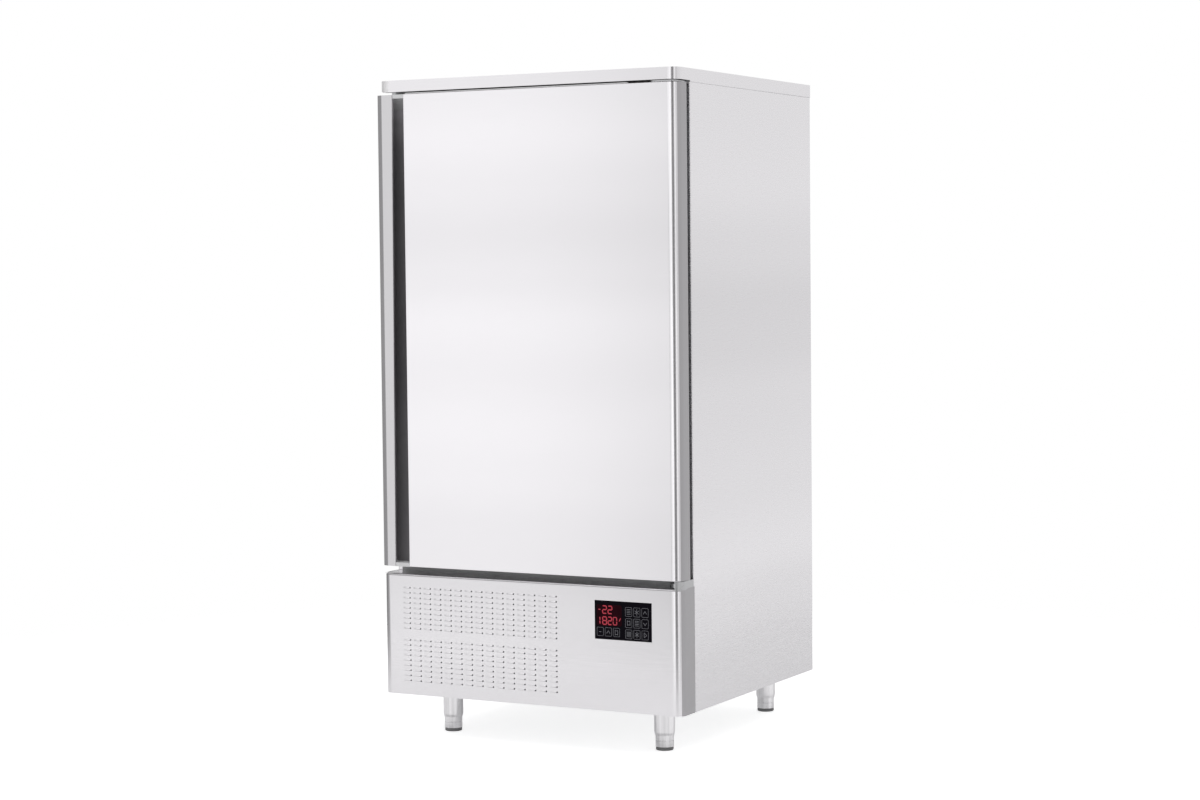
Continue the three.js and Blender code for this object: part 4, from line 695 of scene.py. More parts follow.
# %% Cabinet sheets
SOFT_EDGE, LONG_EDGE = 0.0005, 0.05
SHEETS = [
    ("side_panel_right", side_steel, "steel"), ("side_panel_left", side_steel, "steel"),
    ("top_cover", side_steel, "steel"), ("back_panel", zinc, "zinc"), ("rear_vent_panel", zinc, "zinc"),
    ("base_pan", zinc, "zinc"), ("front_surround", surround_plastic, "grey_plastic"),
]
for solid, coat, slot in SHEETS:
    sheet = copy_of(solid, solid + "_sheet")
    rounds = softened(sheet, SOFT_EDGE, shortest=LONG_EDGE)
    smooth(painted(baked(sheet), coat))
    fitted(sheet, "cabinet", slot, solid)
    print(solid, "soft edges", rounds, "faces", len(sheet.data.polygons))

# %% [markdown]
# The strip of the cover above the door is brushed like the door, except its left corner, which
# was welded and ground and stayed dull. Sealant fills the seam between the cover and the
# side panels, small tabs close the front corners behind the strip, and a pale blade under the
# strip narrows the gap above the door. All of them are plain outlines pulled to a length.

# %% Fascia finish
cover = bpy.data.objects["top_cover_sheet"]
cover.data.materials.append(fascia_steel)
cover.data.materials.append(ground_steel)
for face in cover.data.polygons:
    if face.normal.y < -0.35:
        face.material_index = 1
    if face.normal.x < -0.12 and face.center.y < -0.34:
        face.material_index = 2
print("fascia faces", sum(face.material_index > 0 for face in cover.data.polygons))

# %% Seam sealant, corner tabs and gap blade
seam_low, seam_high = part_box("side_panel_left")[1].z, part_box("top_cover")[0].z
half, front, back = 394.65 * MM, -301.7 * MM, 367.65 * MM
BEAD = 0.8 * MM
bead = extruded("seam_sealant", [
    (-half, front), (-half, back), (half, back), (half, front), (half - BEAD, front),
    (half - BEAD, back - BEAD), (-half + BEAD, back - BEAD), (-half + BEAD, front)],
    seam_low, seam_high - 0.05 * MM)
fitted(painted(bead, sealant), "cabinet", "gasket")
TAB_INNER, TAB_OUTER, TAB_FRONT, TAB_BACK = 382.9 * MM, 394.2 * MM, -301.9 * MM, -301.0 * MM
for side, name in ((-1, "left"), (1, "right")):
    x0, x1 = sorted((side * TAB_INNER, side * TAB_OUTER))
    tab = extruded("corner_tab_" + name, oblong(x0, x1, TAB_FRONT, TAB_BACK),
                   seam_high - 0.6 * MM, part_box("front_surround")[1].z)
    fitted(painted(tab, cut_edge), "cabinet", "steel")
BLADE_FRONT, BLADE_BACK, BLADE_LOW, BLADE_HIGH = -367.5 * MM, -364 * MM, 1520.8 * MM, 1522.9 * MM
blade = extruded("gap_blade", oblong(BLADE_FRONT, BLADE_BACK, BLADE_LOW, BLADE_HIGH),
                 -316 * MM, 272 * MM, "X")
softened(blade, 0.0003, sharper_than=50)
fitted(smooth(painted(baked(blade), cap_plastic)), "cabinet", "grey_plastic")
print("seam", round(1000 * (seam_high - seam_low), 2), "mm")

# %% [markdown]
# ## The lower front panel and its slots
# The slots are lanced, not punched out: each tongue stays joined at its left end and is pushed in
# a few millimetres at its right, so air passes but one sees only a faint line with a dark end.
# The panel's solid has the plain openings; one bent tongue is modelled and the rows-and-columns
# tree repeats it in two fields.

# %% Lower panel sheet
def two_tone(piece, front, returned, from_x, from_y):
    """Gives the return behind the right bend its own darker finish, which is painted shade."""
    painted(piece, front, returned)
    for face in piece.data.polygons:
        behind = face.center.x > from_x and face.center.y > from_y
        face.material_index = 1 if behind else 0


RETURN_X, RETURN_Y = 0.3903, -0.3582
BEND_X, BEND_Y = 371 * MM, -344 * MM
ON_RETURN, ON_SHELF, ON_BEND = 1, 2, 3
panel = copy_of("lower_front_panel", "lower_front_panel_sheet")
CORNER_X, CORNER_Y, TIGHT, WIDE, SHEET = -386 * MM, -359 * MM, 9 * MM, 19 * MM, 1.5 * MM
for vertex in panel.data.vertices:
    spoke = Vector((vertex.co.x - CORNER_X, vertex.co.y - CORNER_Y))
    if spoke.x < 0.1 * MM and spoke.y < 0.1 * MM:
        outer = spoke.length > TIGHT - SHEET / 2
        spoke *= WIDE / TIGHT if outer else (WIDE - SHEET) / (TIGHT - SHEET)
        vertex.co.x = CORNER_X + (WIDE - TIGHT) + spoke.x
        vertex.co.y = CORNER_Y + (WIDE - TIGHT) + spoke.y
print("rolled edges", rolled(panel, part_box("lower_front_panel")[1].z, 5 * MM))
softened(panel, 0.0006, shortest=0.06)
baked(panel)
# The panel's return and the upward faces of its rolled top edge get the darkened return steel: painted shade.
two_tone(panel, panel_steel, return_steel, RETURN_X, RETURN_Y)
panel.data.materials.append(shelf_steel)
panel.data.materials.append(door_steel)
for face in panel.data.polygons:
    if face.normal.z > 0.99:
        face.material_index = ON_SHELF
    elif face.normal.z > 0.12:
        face.material_index = ON_RETURN
    elif face.material_index == 0 and face.center.x > BEND_X:
        face.material_index = ON_BEND
smooth(panel)
fitted(panel, "cabinet", "steel", "lower_front_panel")
panel_low, panel_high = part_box("lower_front_panel")
print("panel", [round(1000 * (b - a)) for a, b in zip(panel_low, panel_high)], "mm")

# %% [markdown]
# Two thin sheets close the gap under the door. A shelf lies behind the panel's rolled top edge, and
# a shield stands before the lower hinge. The shield follows an arc about the centre of the panel's
# own bend, so that the two rounds run on from each other.

# %% Shelf behind the top edge, and the shield round the hinge
SHELF_LEFT, SHELF_RIGHT, SHELF_FRONT, SHELF_BACK = -393 * MM, 358 * MM, -361.6 * MM, -302.6 * MM
shelf = extruded("panel_shelf", oblong(SHELF_LEFT, SHELF_RIGHT, SHELF_FRONT, SHELF_BACK),
                 panel_high.z - 1.3 * MM, panel_high.z - 0.2 * MM)
fitted(painted(shelf, shelf_steel), "cabinet", "steel")
SHIELD_OUT, SHIELD_IN, SHIELD_TOP, SHIELD_BACK = 23.7 * MM, 22.5 * MM, 407.7 * MM, -303 * MM


def wrapped(radius, first=18, last=90, steps=14):
    """Points on the panel's right bend, from one turn to another, then straight back."""
    turns = [math.radians(first + (last - first) * i / steps) for i in range(steps + 1)]
    return [(BEND_X + radius * math.sin(turn), BEND_Y - radius * math.cos(turn)) for turn in turns] + [
        (BEND_X + radius, SHIELD_BACK)]


shield = extruded("hinge_shield", wrapped(SHIELD_OUT) + wrapped(SHIELD_IN)[::-1],
                  panel_high.z - 3.4 * MM, SHIELD_TOP)
fitted(smooth(painted(shield, hinge_metal), 40), "cabinet", "cast_grey")
print("shelf and shield ready")

# %% One tongue, repeated in two fields
SLOT_LENGTH, SLOT_HEIGHT = 20 * MM, 3.4 * MM
SLOT_FIRST = (-0.339, 0.1378)
SLOT_STEP_X, SLOT_STEP_Z, FIELD_STEP = 28.3 * MM, 12.05 * MM, 124.4 * MM
SLOT_COLUMNS, SLOT_ROWS, SLOT_FIELDS = 15, 9, 2
TONGUE_GAP, TONGUE_DIP, TONGUE_SHEET, TONGUE_SHORT = 0.20 * MM, 3.2 * MM, 1.2 * MM, 5.2 * MM

left, middle = SLOT_FIRST
half = SLOT_HEIGHT / 2 - TONGUE_GAP
rings = []
for step in range(7):
    share = step / 6
    x = left + share * (SLOT_LENGTH - TONGUE_SHORT)
    y = panel_low.y + 0.1 * MM + TONGUE_DIP * share ** 1.8
    rings.append([(x, y, middle - half), (x, y, middle + half),
                  (x, y + TONGUE_SHEET, middle + half), (x, y + TONGUE_SHEET, middle - half)])
tongues = skinned("slot_tongues", rings)
repeated(tongues, rows_and_columns, columns=SLOT_COLUMNS, rows=SLOT_ROWS, fields=SLOT_FIELDS,
         column_step=(SLOT_STEP_X, 0, 0), row_step=(0, 0, SLOT_STEP_Z), field_step=(0, 0, FIELD_STEP),
         finish=panel_steel)
fitted(smooth(tongues), "cabinet", "steel")
print("tongues", SLOT_COLUMNS * SLOT_ROWS * SLOT_FIELDS, "faces", len(tongues.data.polygons))

# %% [markdown]
# ## The control face
# A flat plate of black glass stands in the panel's window, its front just behind the sheet's.
# A digit is seven bars, each a flat lozenge; which bars are lit makes the figure. Keys are thin
# rounded frames. Everything printed lies a tenth of a millimetre behind the front plane.

# %% Glass plate
glass_low, glass_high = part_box("control_panel")
GLASS_Y, PRINT_Y = glass_low.y + 0.25 * MM, glass_low.y + 0.12 * MM
glass = extruded("control_glass_plate", rounded_box(
    glass_low.x, glass_high.x, glass_low.z, glass_high.z, 1.2 * MM), GLASS_Y, glass_high.y, "Y")
softened(glass, 0.0003, sharper_than=50)
fitted(smooth(painted(baked(glass), control_glass)), "cabinet", "black_glass", "control_panel")
glass_size = glass_high - glass_low
print("glass", round(1000 * glass_size.x), "x", round(1000 * glass_size.z), "mm")

# %% Seven bars of a digit
LIT = {0: "abcdef", 1: "bc", 2: "abged", 8: "abcdefg", "-": "g"}


def bar(x0, z0, x1, z1, thick):
    """A flat lozenge from one end to the other, as points in the control face's plane."""
    way = Vector((x1 - x0, z1 - z0)).normalized() * thick / 2
    side = Vector((-way.y, way.x))
    ends = Vector((x0, z0)), Vector((x1, z1))
    return [ends[0], ends[0] + way + side, ends[1] - way + side, ends[1], ends[1] - way - side,
            ends[0] + way - side]


def digit_bars(figure, x, z, width, height, thick):
    """The lit bars of one figure; x and z are its lower left corner."""
    gap = thick * 0.12
    rows = (z, z + height / 2, z + height)
    spans = {
        "a": (x, rows[2], x + width, rows[2]), "g": (x, rows[1], x + width, rows[1]),
        "d": (x, rows[0], x + width, rows[0]), "e": (x, rows[0], x, rows[1]), "f": (x, rows[1], x, rows[2]),
        "c": (x + width, rows[0], x + width, rows[1]), "b": (x + width, rows[1], x + width, rows[2])}
    return [bar(a + gap * (b != d), b + gap * (a == c), c - gap * (b != d), d - gap * (a == c), thick)
            for name, (a, b, c, d) in spans.items() if name in LIT[figure]]


def flat_print(name, shapes, y, coat, depth=0.08 * MM):
    """Thin raised shapes on the control face, each a closed plate."""
    points, faces = [], []
    for shape in shapes:
        start, count = len(points), len(shape)
        points += [(x, y, z) for x, z in shape] + [(x, y + depth, z) for x, z in shape]
        faces += [tuple(range(start, start + count)),
                  tuple(reversed(range(start + count, start + 2 * count)))]
        faces += [(start + i, start + (i + 1) % count, start + count + (i + 1) % count, start + count + i)
                  for i in range(count)]
    return painted(welded(mesh_piece(name, points, faces), gap=1e-7), coat)


print("bars of an eight", len(digit_bars(8, 0, 0, 1, 2, 0.1)))

# %% Two rows of red figures
FIGURES = [("-", 9, 29, 6, 17, 2.2), (2, 20, 29, 10, 17, 2.6), (2, 34, 29, 10, 17, 2.6),
           (1, 8, 54, 5, 17, 2.6), (8, 20, 54, 10, 17, 2.6), (2, 34, 54, 9, 17, 2.6),
           (0, 47, 54, 9, 17, 2.2)]
shapes = []
for figure, from_left, from_top, width, height, thick in FIGURES:
    shapes += digit_bars(figure, glass_low.x + from_left * MM, glass_high.z - from_top * MM,
                         width * MM, height * MM, thick * MM)
shapes.append(bar(glass_low.x + 62 * MM, glass_high.z - 46 * MM, glass_low.x + 66 * MM,
                  glass_high.z - 38 * MM, 1.8 * MM))
figures = flat_print("red_figures", shapes, PRINT_Y, digit_glow)
fitted(figures, "cabinet", "black_glass")
window = rounded_box(glass_low.x + 5 * MM, glass_low.x + 69 * MM,
                     glass_high.z - 57 * MM, glass_high.z - 9 * MM, 4 * MM)
tint = flat_print("display_window", [window], PRINT_Y + 0.07 * MM, window_tint, 0.04 * MM)
fitted(tint, "cabinet", "black_glass")
print("lit bars", len(shapes))


# %% Outlined keys
def key_frame(name, from_left, from_top, width, height, line, columns, rows, step_x, step_z):
    x0, z1 = glass_low.x + from_left * MM, glass_high.z - from_top * MM
    x1, z0 = x0 + width * MM, z1 - height * MM
    outer = rounded_box(x0, x1, z0, z1, 2.4 * MM, 3)
    inner = rounded_box(x0 + line, x1 - line, z0 + line, z1 - line, 2.4 * MM - line, 3)
    rings = [[(x, y, z) for x, z in outline] for outline, y in (
        (outer, PRINT_Y), (outer, PRINT_Y + 0.08 * MM), (inner, PRINT_Y + 0.08 * MM), (inner, PRINT_Y))]
    piece = skinned(name, rings, closed=True)
    repeated(piece, rows_and_columns, columns=columns, rows=rows, fields=1,
             column_step=(step_x * MM, 0, 0), row_step=(0, 0, -step_z * MM), field_step=(0, 0, 0),
             finish=key_print)
    return fitted(piece, "cabinet", "black_glass")


KEY_WIDE, KEY_TALL, KEY_LINE = 17, 21, 0.6 * MM
key_frame("lower_keys", 5, 61, KEY_WIDE, 20, KEY_LINE, 3, 1, 20.8, 0)
key_frame("right_keys", 78, 12, KEY_WIDE, KEY_TALL, KEY_LINE, 3, 3, 20.8, 25.4)
print("keys", 3 + 9)

# %% Plain signs on the keys: bars, crosses, arrows
SIGNS = {
    "lines": [(0.2, z, 0.8, z) for z in (0.25, 0.42, 0.59, 0.76)],
    "posts": [(x, 0.2, x, 0.8) for x in (0.26, 0.42, 0.58, 0.74)],
    "frost": [(0.5, 0.15, 0.5, 0.85), (0.18, 0.32, 0.82, 0.68), (0.18, 0.68, 0.82, 0.32)],
    "grid": [(0.25, 0.3, 0.75, 0.3), (0.25, 0.7, 0.75, 0.7), (0.3, 0.2, 0.3, 0.8), (0.7, 0.2, 0.7, 0.8)],
    "up": [(0.25, 0.35, 0.5, 0.68), (0.5, 0.68, 0.75, 0.35)],
    "down": [(0.25, 0.65, 0.5, 0.32), (0.5, 0.32, 0.75, 0.65)],
    "start": [(0.35, 0.22, 0.35, 0.78), (0.35, 0.78, 0.76, 0.5), (0.76, 0.5, 0.35, 0.22)],
    "dash": [(0.3, 0.5, 0.7, 0.5)],
}
KEY_SIGNS = [(78, 12, "lines"), (98.8, 12, "frost"), (119.6, 12, "up"), (78, 37.4, "grid"),
             (98.8, 37.4, "lines"), (119.6, 37.4, "down"), (78, 62.8, "posts"), (98.8, 62.8, "frost"),
             (119.6, 62.8, "start"), (5, 61, "dash"), (25.8, 61, "up"), (46.6, 61, "grid")]
shapes = []
for from_left, from_top, sign in KEY_SIGNS:
    x, z = glass_low.x + from_left * MM, glass_high.z - (from_top + KEY_TALL) * MM
    shapes += [bar(x + a * KEY_WIDE * MM, z + b * KEY_TALL * MM,
                   x + c * KEY_WIDE * MM, z + d * KEY_TALL * MM, 0.9 * MM) for a, b, c, d in SIGNS[sign]]
fitted(flat_print("key_signs", shapes, PRINT_Y, key_print), "cabinet", "black_glass")
print("sign bars", len(shapes))

# %% [markdown]
# ## The door
# The door's skin wraps round the right edge in a wide bend. About half-way round, the brushed
# face ends and the return begins, darkened with painted shade. Its left edge stops at the grip, a
# channel as tall as the door: a front lip to pull on, and a hollow behind it, darkened with painted shade.

# %% Door skin
skin = copy_of("door_skin", "door_skin_sheet")
print("rolled edges", rolled(skin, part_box("door_skin")[0].z, 2 * MM, 4))
softened(skin, 0.0012, shortest=0.06, segments=3)
baked(skin)
# The return behind the bend gets the darkened steel: painted shade.
two_tone(skin, door_steel, return_steel, RETURN_X, RETURN_Y)
smooth(skin)
fitted(skin, "door", "steel", "door_skin")
door_low, door_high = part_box("door_skin")
print("door skin", round(1000 * (door_high.z - door_low.z)), "mm tall")

# %% Grip, skinned over outlines with a lip that widens towards the top
grip_low, grip_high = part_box("grip_profile")
GRIP_LEVELS = [(0.0, 35.5), (0.18, 36.5), (0.40, 38.0), (0.62, 40.0), (0.82, 41.5), (1.0, 43.5)]
LIP_SHEET, LIP_HEM, GRIP_DEPTH = 2.5 * MM, 6 * MM, 38 * MM
BEVEL_WIDE, BEVEL_DEEP = 13.5 * MM, 4.2 * MM


def grip_outline(lip_width):
    left, front, right, back = grip_low.x, grip_low.y, grip_high.x, grip_high.y
    lip, wall, floor = left + lip_width, left + LIP_SHEET, front + GRIP_DEPTH
    inner = front + LIP_SHEET
    return rounded([
        (left, back, 0), (left, front + BEVEL_DEEP, 2 * MM), (left + BEVEL_WIDE, front, 9 * MM),
        (lip, front, 1.6 * MM), (lip, front + LIP_HEM, 0.8 * MM),
        (lip - LIP_SHEET, front + LIP_HEM, 0.8 * MM), (lip - LIP_SHEET, inner, 0.8 * MM),
        (left + BEVEL_WIDE, inner, 6 * MM), (wall, inner + BEVEL_DEEP, 1 * MM), (wall, floor, 6 * MM),
        (right, floor, 0.5 * MM),
        (right, back, 0), (right - LIP_SHEET, back, 0), (right - LIP_SHEET, floor + LIP_SHEET, 0.5 * MM),
        (wall, floor + LIP_SHEET, 0.5 * MM), (wall, back, 0)], 6)


rings = []
for share, lip_width in GRIP_LEVELS:
    z = door_low.z + 0.3 * MM + share * (door_high.z - door_low.z - 0.6 * MM)
    rings.append([(x, y, z) for x, y in grip_outline(lip_width * MM)])
grip = skinned("grip_channel", rings)
# The hollow's faces take the plastic with painted shade.
painted(grip, lip_steel, recess_plastic)
for face in grip.data.polygons:
    behind = face.center.y - grip_low.y - BEVEL_DEEP * max(0, 1 - (face.center.x - grip_low.x) / BEVEL_WIDE)
    face.material_index = 1 if behind > 1.6 * MM and face.center.x > grip_low.x + 0.5 * MM else 0
fitted(smooth(grip), "door", "steel", "grip_profile")
print("grip faces", len(grip.data.polygons))

# %% [markdown]
# A white moulding closes each end of the channel. It sits between the lip and the skin, flush with
# the front, and the upper one runs down into the hollow as a scoop, which catches the light at its
# top and carries painted shade, darker towards its foot.

# %% End caps of the grip
CAP_ENDS = (("grip_cap_top", GRIP_LEVELS[-1][1] * MM), ("grip_cap_bottom", GRIP_LEVELS[0][1] * MM))
for solid, lip_width in CAP_ENDS:
    low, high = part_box(solid)
    behind_lip, beside_lip = low.y + LIP_HEM + 0.3 * MM, low.x + lip_width + 0.3 * MM
    plan = rounded([
        (low.x + LIP_SHEET + 0.2 * MM, behind_lip + 6 * MM, 1 * MM), (low.x + 16 * MM, behind_lip, 2 * MM),
        (beside_lip, behind_lip, 0.2 * MM), (beside_lip, low.y + 0.4 * MM, 0.8 * MM),
        (high.x - 0.1 * MM, low.y + 0.4 * MM, 0.8 * MM),
        (high.x - 0.1 * MM, low.y + GRIP_DEPTH - 0.1 * MM, 0.5 * MM),
        (low.x + LIP_SHEET + 0.2 * MM, low.y + GRIP_DEPTH - 0.1 * MM, 5 * MM)], 4)
    cap = extruded(solid + "_moulding", plan, low.z, high.z)
    softened(cap, 0.0008, sharper_than=60, segments=3)
    fitted(smooth(painted(baked(cap), cap_plastic)), "door", "grey_plastic", solid)
SCOOP, SCOOP_STEPS = 26 * MM, 12
corner_y, corner_z = grip_low.y + GRIP_DEPTH - 0.1 * MM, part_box("grip_cap_top")[0].z
quarter = [math.pi / 2 * i / SCOOP_STEPS for i in range(SCOOP_STEPS + 1)]
arc = [(corner_y - SCOOP + SCOOP * math.sin(turn), corner_z - SCOOP + SCOOP * math.cos(turn))
       for turn in quarter]
scoop = extruded("grip_scoop", arc + [(corner_y, corner_z)],
                 grip_low.x + LIP_SHEET + 6.5 * MM, grip_high.x - 0.1 * MM, "X")
# The scoop's plastic darkens downwards: painted shade.
fitted(smooth(painted(scoop, scoop_plastic)), "door", "grey_plastic", "grip_cap_top")
print("caps and scoop ready")

# %% [markdown]
# ## The seal
# A magnetic seal is a soft bellows: a flat face towards the cabinet, folds behind it, and a foot
# in the door. One folded section is carried round the rounded rectangle of the door's back.

# %% Bellows seal
seal_low, seal_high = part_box("door_gasket")
SEAL_CORNER, SEAL_WIDTH = 20 * MM, 14 * MM
deep = seal_high.y - seal_low.y
FOLDS = [(0.0, 0.0), (1.0, 0.0), (1.0, 0.14), (0.84, 0.22), (1.0, 0.32), (1.0, 0.42), (0.84, 0.50),
         (1.0, 0.58), (1.0, 0.94), (0.94, 1.0), (0.06, 1.0), (0.0, 0.94), (0.0, 0.58), (0.16, 0.50),
         (0.0, 0.42), (0.0, 0.32), (0.16, 0.22), (0.0, 0.14)]


def seal_ring(inset):
    return rounded_box(seal_low.x + inset, seal_high.x - inset, seal_low.z + inset, seal_high.z - inset,
                       max(SEAL_CORNER - inset, 1 * MM), 8)


rings = [[(x, seal_low.y + back * deep, z) for x, z in seal_ring((1 - out) * SEAL_WIDTH)]
         for out, back in FOLDS]
seal = skinned("door_seal", rings, closed=True)
fitted(smooth(painted(seal, seal_rubber), 50), "door", "gasket", "door_gasket")
print("seal", round(1000 * deep, 1), "mm deep")

# %% [markdown]
# ## Hinges
# The door turns on two pins in plastic bushes. The lower bracket is a casting that the viewer
# sees in the gap under the door; its dark coat is painted shade of the gap, with a brighter end
# where the shield wraps it. The upper one is a thinner plate.

# %% Brackets, pins and bushes
# The lower bracket's dark coat is painted shade of the gap under the door.
for solid, body, slot, coat, width in (
        ("hinge_bracket_top", "cabinet", "cast_grey", hinge_metal, 0.0008),
        ("hinge_bracket_bottom", "cabinet", "cast_grey", bracket_metal, 0.0022),
        ("hinge_bush_top", "door", "black_plastic", bush_nylon, 0.0004),
        ("hinge_bush_bottom", "door", "black_plastic", bush_nylon, 0.0006)):
    part = copy_of(solid, solid + "_cast")
    softened(part, width, shortest=0.002, sharper_than=50, segments=3)
    fitted(smooth(painted(baked(part), coat), 40), body, slot, solid)

BRIGHT_END = 375 * MM
bracket = bpy.data.objects["hinge_bracket_bottom_cast"]
bracket.data.materials.append(hinge_metal)
for face in bracket.data.polygons:
    face.material_index = 1 if face.center.x > BRIGHT_END else 0

for solid in ("hinge_pin_top", "hinge_pin_bottom"):
    low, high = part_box(solid)
    radius, chamfer = (high.x - low.x) / 2, 0.8 * MM
    centre = ((low.x + high.x) / 2, (low.y + high.y) / 2, 0)
    pin = spun(solid + "_turned", [
        (0, low.z), (radius - chamfer, low.z), (radius, low.z + chamfer), (radius, high.z - chamfer),
        (radius - chamfer, high.z), (0, high.z)], centre, steps=32)
    fitted(smooth(painted(pin, hinge_metal), 40), "cabinet", "cast_grey", solid)
print("hinge pieces", 6)

# %% [markdown]
# ## Legs
# Each leg is a steel sleeve under the base with a foot that screws in and out of it. Sleeve, foot
# and pad are spun from their profiles; the foot has a fine turned groove where a spanner grips.

# %% Legs, feet and pads
CORNERS = ("front_left", "front_right", "back_left", "back_right")
for corner in CORNERS:
    low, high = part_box("leg_sleeve_" + corner)
    x, y = (low.x + high.x) / 2, (low.y + high.y) / 2
    outer, tip, bore, plate = 24 * MM, 22.6 * MM, 21.5 * MM, high.z - 3 * MM
    sleeve = spun(f"leg_sleeve_{corner}_tube", [
        (bore, low.z + 58 * MM), (bore, low.z + 0.5 * MM), (bore + 0.4 * MM, low.z), (tip - 0.4 * MM, low.z),
        (tip, low.z + 0.6 * MM), (outer - 0.5 * MM, low.z + 5.4 * MM), (outer, low.z + 7 * MM),
        (outer, plate - 2 * MM), (outer + 1.6 * MM, plate - 0.4 * MM), (outer + 1.8 * MM, plate),
        (0, plate), (0, low.z + 58 * MM), (bore, low.z + 58 * MM)], (x, y, 0))
    flange = extruded(f"leg_plate_{corner}", rounded_box(low.x, high.x, low.y, high.y, 5 * MM),
                      plate, high.z)
    for piece in (sleeve, flange):
        fitted(smooth(painted(piece, leg_steel)), "cabinet", "leg_steel", "leg_sleeve_" + corner)
    low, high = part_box("leg_foot_" + corner)
    radius = 21.2 * MM
    groove = low.z + 14 * MM
    foot = spun(f"leg_foot_{corner}_turned", [
        (0, low.z), (radius - 1 * MM, low.z), (radius, low.z + 1 * MM), (radius, groove),
        (radius - 0.8 * MM, groove + 0.6 * MM), (radius - 0.8 * MM, groove + 2.4 * MM),
        (radius, groove + 3 * MM),
        (radius, high.z - 1 * MM), (radius - 1 * MM, high.z), (0, high.z)], (x, y, 0))
    fitted(smooth(painted(foot, leg_steel)), "foot_" + corner, "leg_steel", "leg_foot_" + corner)
    low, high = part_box("foot_pad_" + corner)
    radius = 20.5 * MM
    pad = spun(f"foot_pad_{corner}_moulding", [
        (0, low.z), (radius - 1.5 * MM, low.z), (radius, low.z + 1.5 * MM), (radius, high.z - 1.2 * MM),
        (radius - 1.2 * MM, high.z), (0, high.z)], (x, y, 0))
    fitted(smooth(painted(pad, pad_rubber)), "foot_" + corner, "black_plastic", "foot_pad_" + corner)
print("legs", len(CORNERS))

# %% [markdown]
# ## Inside the cabinet
# The liner is a bright box with rounded corners, so that it wipes clean. Racks hang on both of
# its walls, and a cowl at the back carries two fans that blow over the evaporator behind it.

# %% Liner, door liner, racks and fan wall
for solid, body in (("inner_liner", "cabinet"), ("door_liner", "door"), ("tray_rack_right", "cabinet"),
                    ("tray_rack_left", "cabinet"), ("fan_wall", "cabinet")):
    sheet = copy_of(solid, solid + "_sheet")
    softened(sheet, 0.0004, shortest=0.10, sharper_than=50)
    fitted(smooth(painted(baked(sheet), liner_steel)), body, "liner_steel", solid)
print("inside sheets", 5)


# %% Fan wheel: a domed hub and swept blades
def fan_wheel(name, solid, body, radius):
    low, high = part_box(solid)
    centre = frame_centre[solid]
    hub_radius, front, back = radius * 0.26, low.y, low.y + radius * 0.19
    blade_rings = []
    for step in range(9):
        share = step / 8
        reach = hub_radius * 0.85 + share * (radius - hub_radius * 0.85)
        pitch = math.radians(30 - 12 * share)
        chord = radius * (0.34 + 0.30 * share - 0.16 * share ** 3)
        sweep = radius * 0.16 * share ** 2
        ring = []
        for along, thick in ((-0.5, 0.0), (-0.25, 0.9), (0.1, 1.1), (0.5, 0.2), (0.1, -0.7), (-0.25, -0.6)):
            across = along * chord - sweep
            ring.append((reach, thick * MM - across * math.sin(pitch) * 0.9, across * math.cos(pitch)))
        blade_rings.append([(x, y, z) for x, y, z in ring])
    blade = skinned(name + "_blades", blade_rings)
    middle = (front + back) / 2
    repeated(blade, round_an_axis, count=5, step_turn=(0, 2 * math.pi / 5, 0),
             centre=(centre[0], middle, centre[1]), finish=black_plastic)
    fitted(smooth(blade, 50), body, "black_plastic", solid)
    hub = spun(name + "_hub", [
        (0, front), (hub_radius * 0.5, front + 0.4 * MM), (hub_radius * 0.9, front + 2 * MM),
        (hub_radius, front + 5 * MM), (hub_radius, back), (0, back)], (centre[0], 0, centre[1]), "Y", 40)
    fitted(smooth(painted(hub, black_plastic)), body, "black_plastic", solid)
    return len(blade.data.polygons)


def wheel_centre(joint):
    place = [j for j in frame["joints"] if j["name"] == joint][0]["pos_m"]
    return place[0], place[2]


frame_centre = {
    "evaporator_fan_upper": wheel_centre("evaporator_fan_spin_upper"),
    "evaporator_fan_lower": wheel_centre("evaporator_fan_spin_lower"),
    "condenser_fan": wheel_centre("condenser_fan_spin")}
EVAPORATOR_WHEEL, CONDENSER_WHEEL, GUARD_RADIUS = 0.140, 0.096, 0.152
for name, solid, body, radius in (
        ("evaporator_wheel_upper", "evaporator_fan_upper", "fan_upper", EVAPORATOR_WHEEL),
        ("evaporator_wheel_lower", "evaporator_fan_lower", "fan_lower", EVAPORATOR_WHEEL),
        ("condenser_wheel", "condenser_fan", "fan_condenser", CONDENSER_WHEEL)):
    print("blade faces", fan_wheel(name, solid, body, radius))

# %% Wire guards and motors
for level in ("upper", "lower"):
    solid = "evaporator_fan_guard_" + level
    low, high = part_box(solid)
    x, z = frame_centre["evaporator_fan_" + level]
    guard = mesh_piece(f"fan_guard_{level}_wire", [], [])
    repeated(guard, wire_guard, radius=GUARD_RADIUS, rings=9, spokes=4, wire=2.6 * MM,
             centre=(x, low.y + 2 * MM, z), finish=liner_steel)
    fitted(smooth(guard, 60), "cabinet", "liner_steel", solid)
for solid in ("evaporator_fan_motor_upper", "evaporator_fan_motor_lower", "condenser_fan_motor"):
    motor = copy_of(solid, solid + "_cast")
    softened(motor, 0.0012, shortest=0.008, sharper_than=50, segments=2)
    fitted(smooth(painted(baked(motor), motor_metal), 40), "cabinet", "cast_grey", solid)
print("guard faces", len(guard.data.polygons))

# %% [markdown]
# ## Coils
# A coil is a block of thin aluminium fins, a few millimetres apart, on rows of copper tube. The
# solid has thick fins for strength; here one thin fin is repeated, and straight tubes run through
# the fins from end to end.


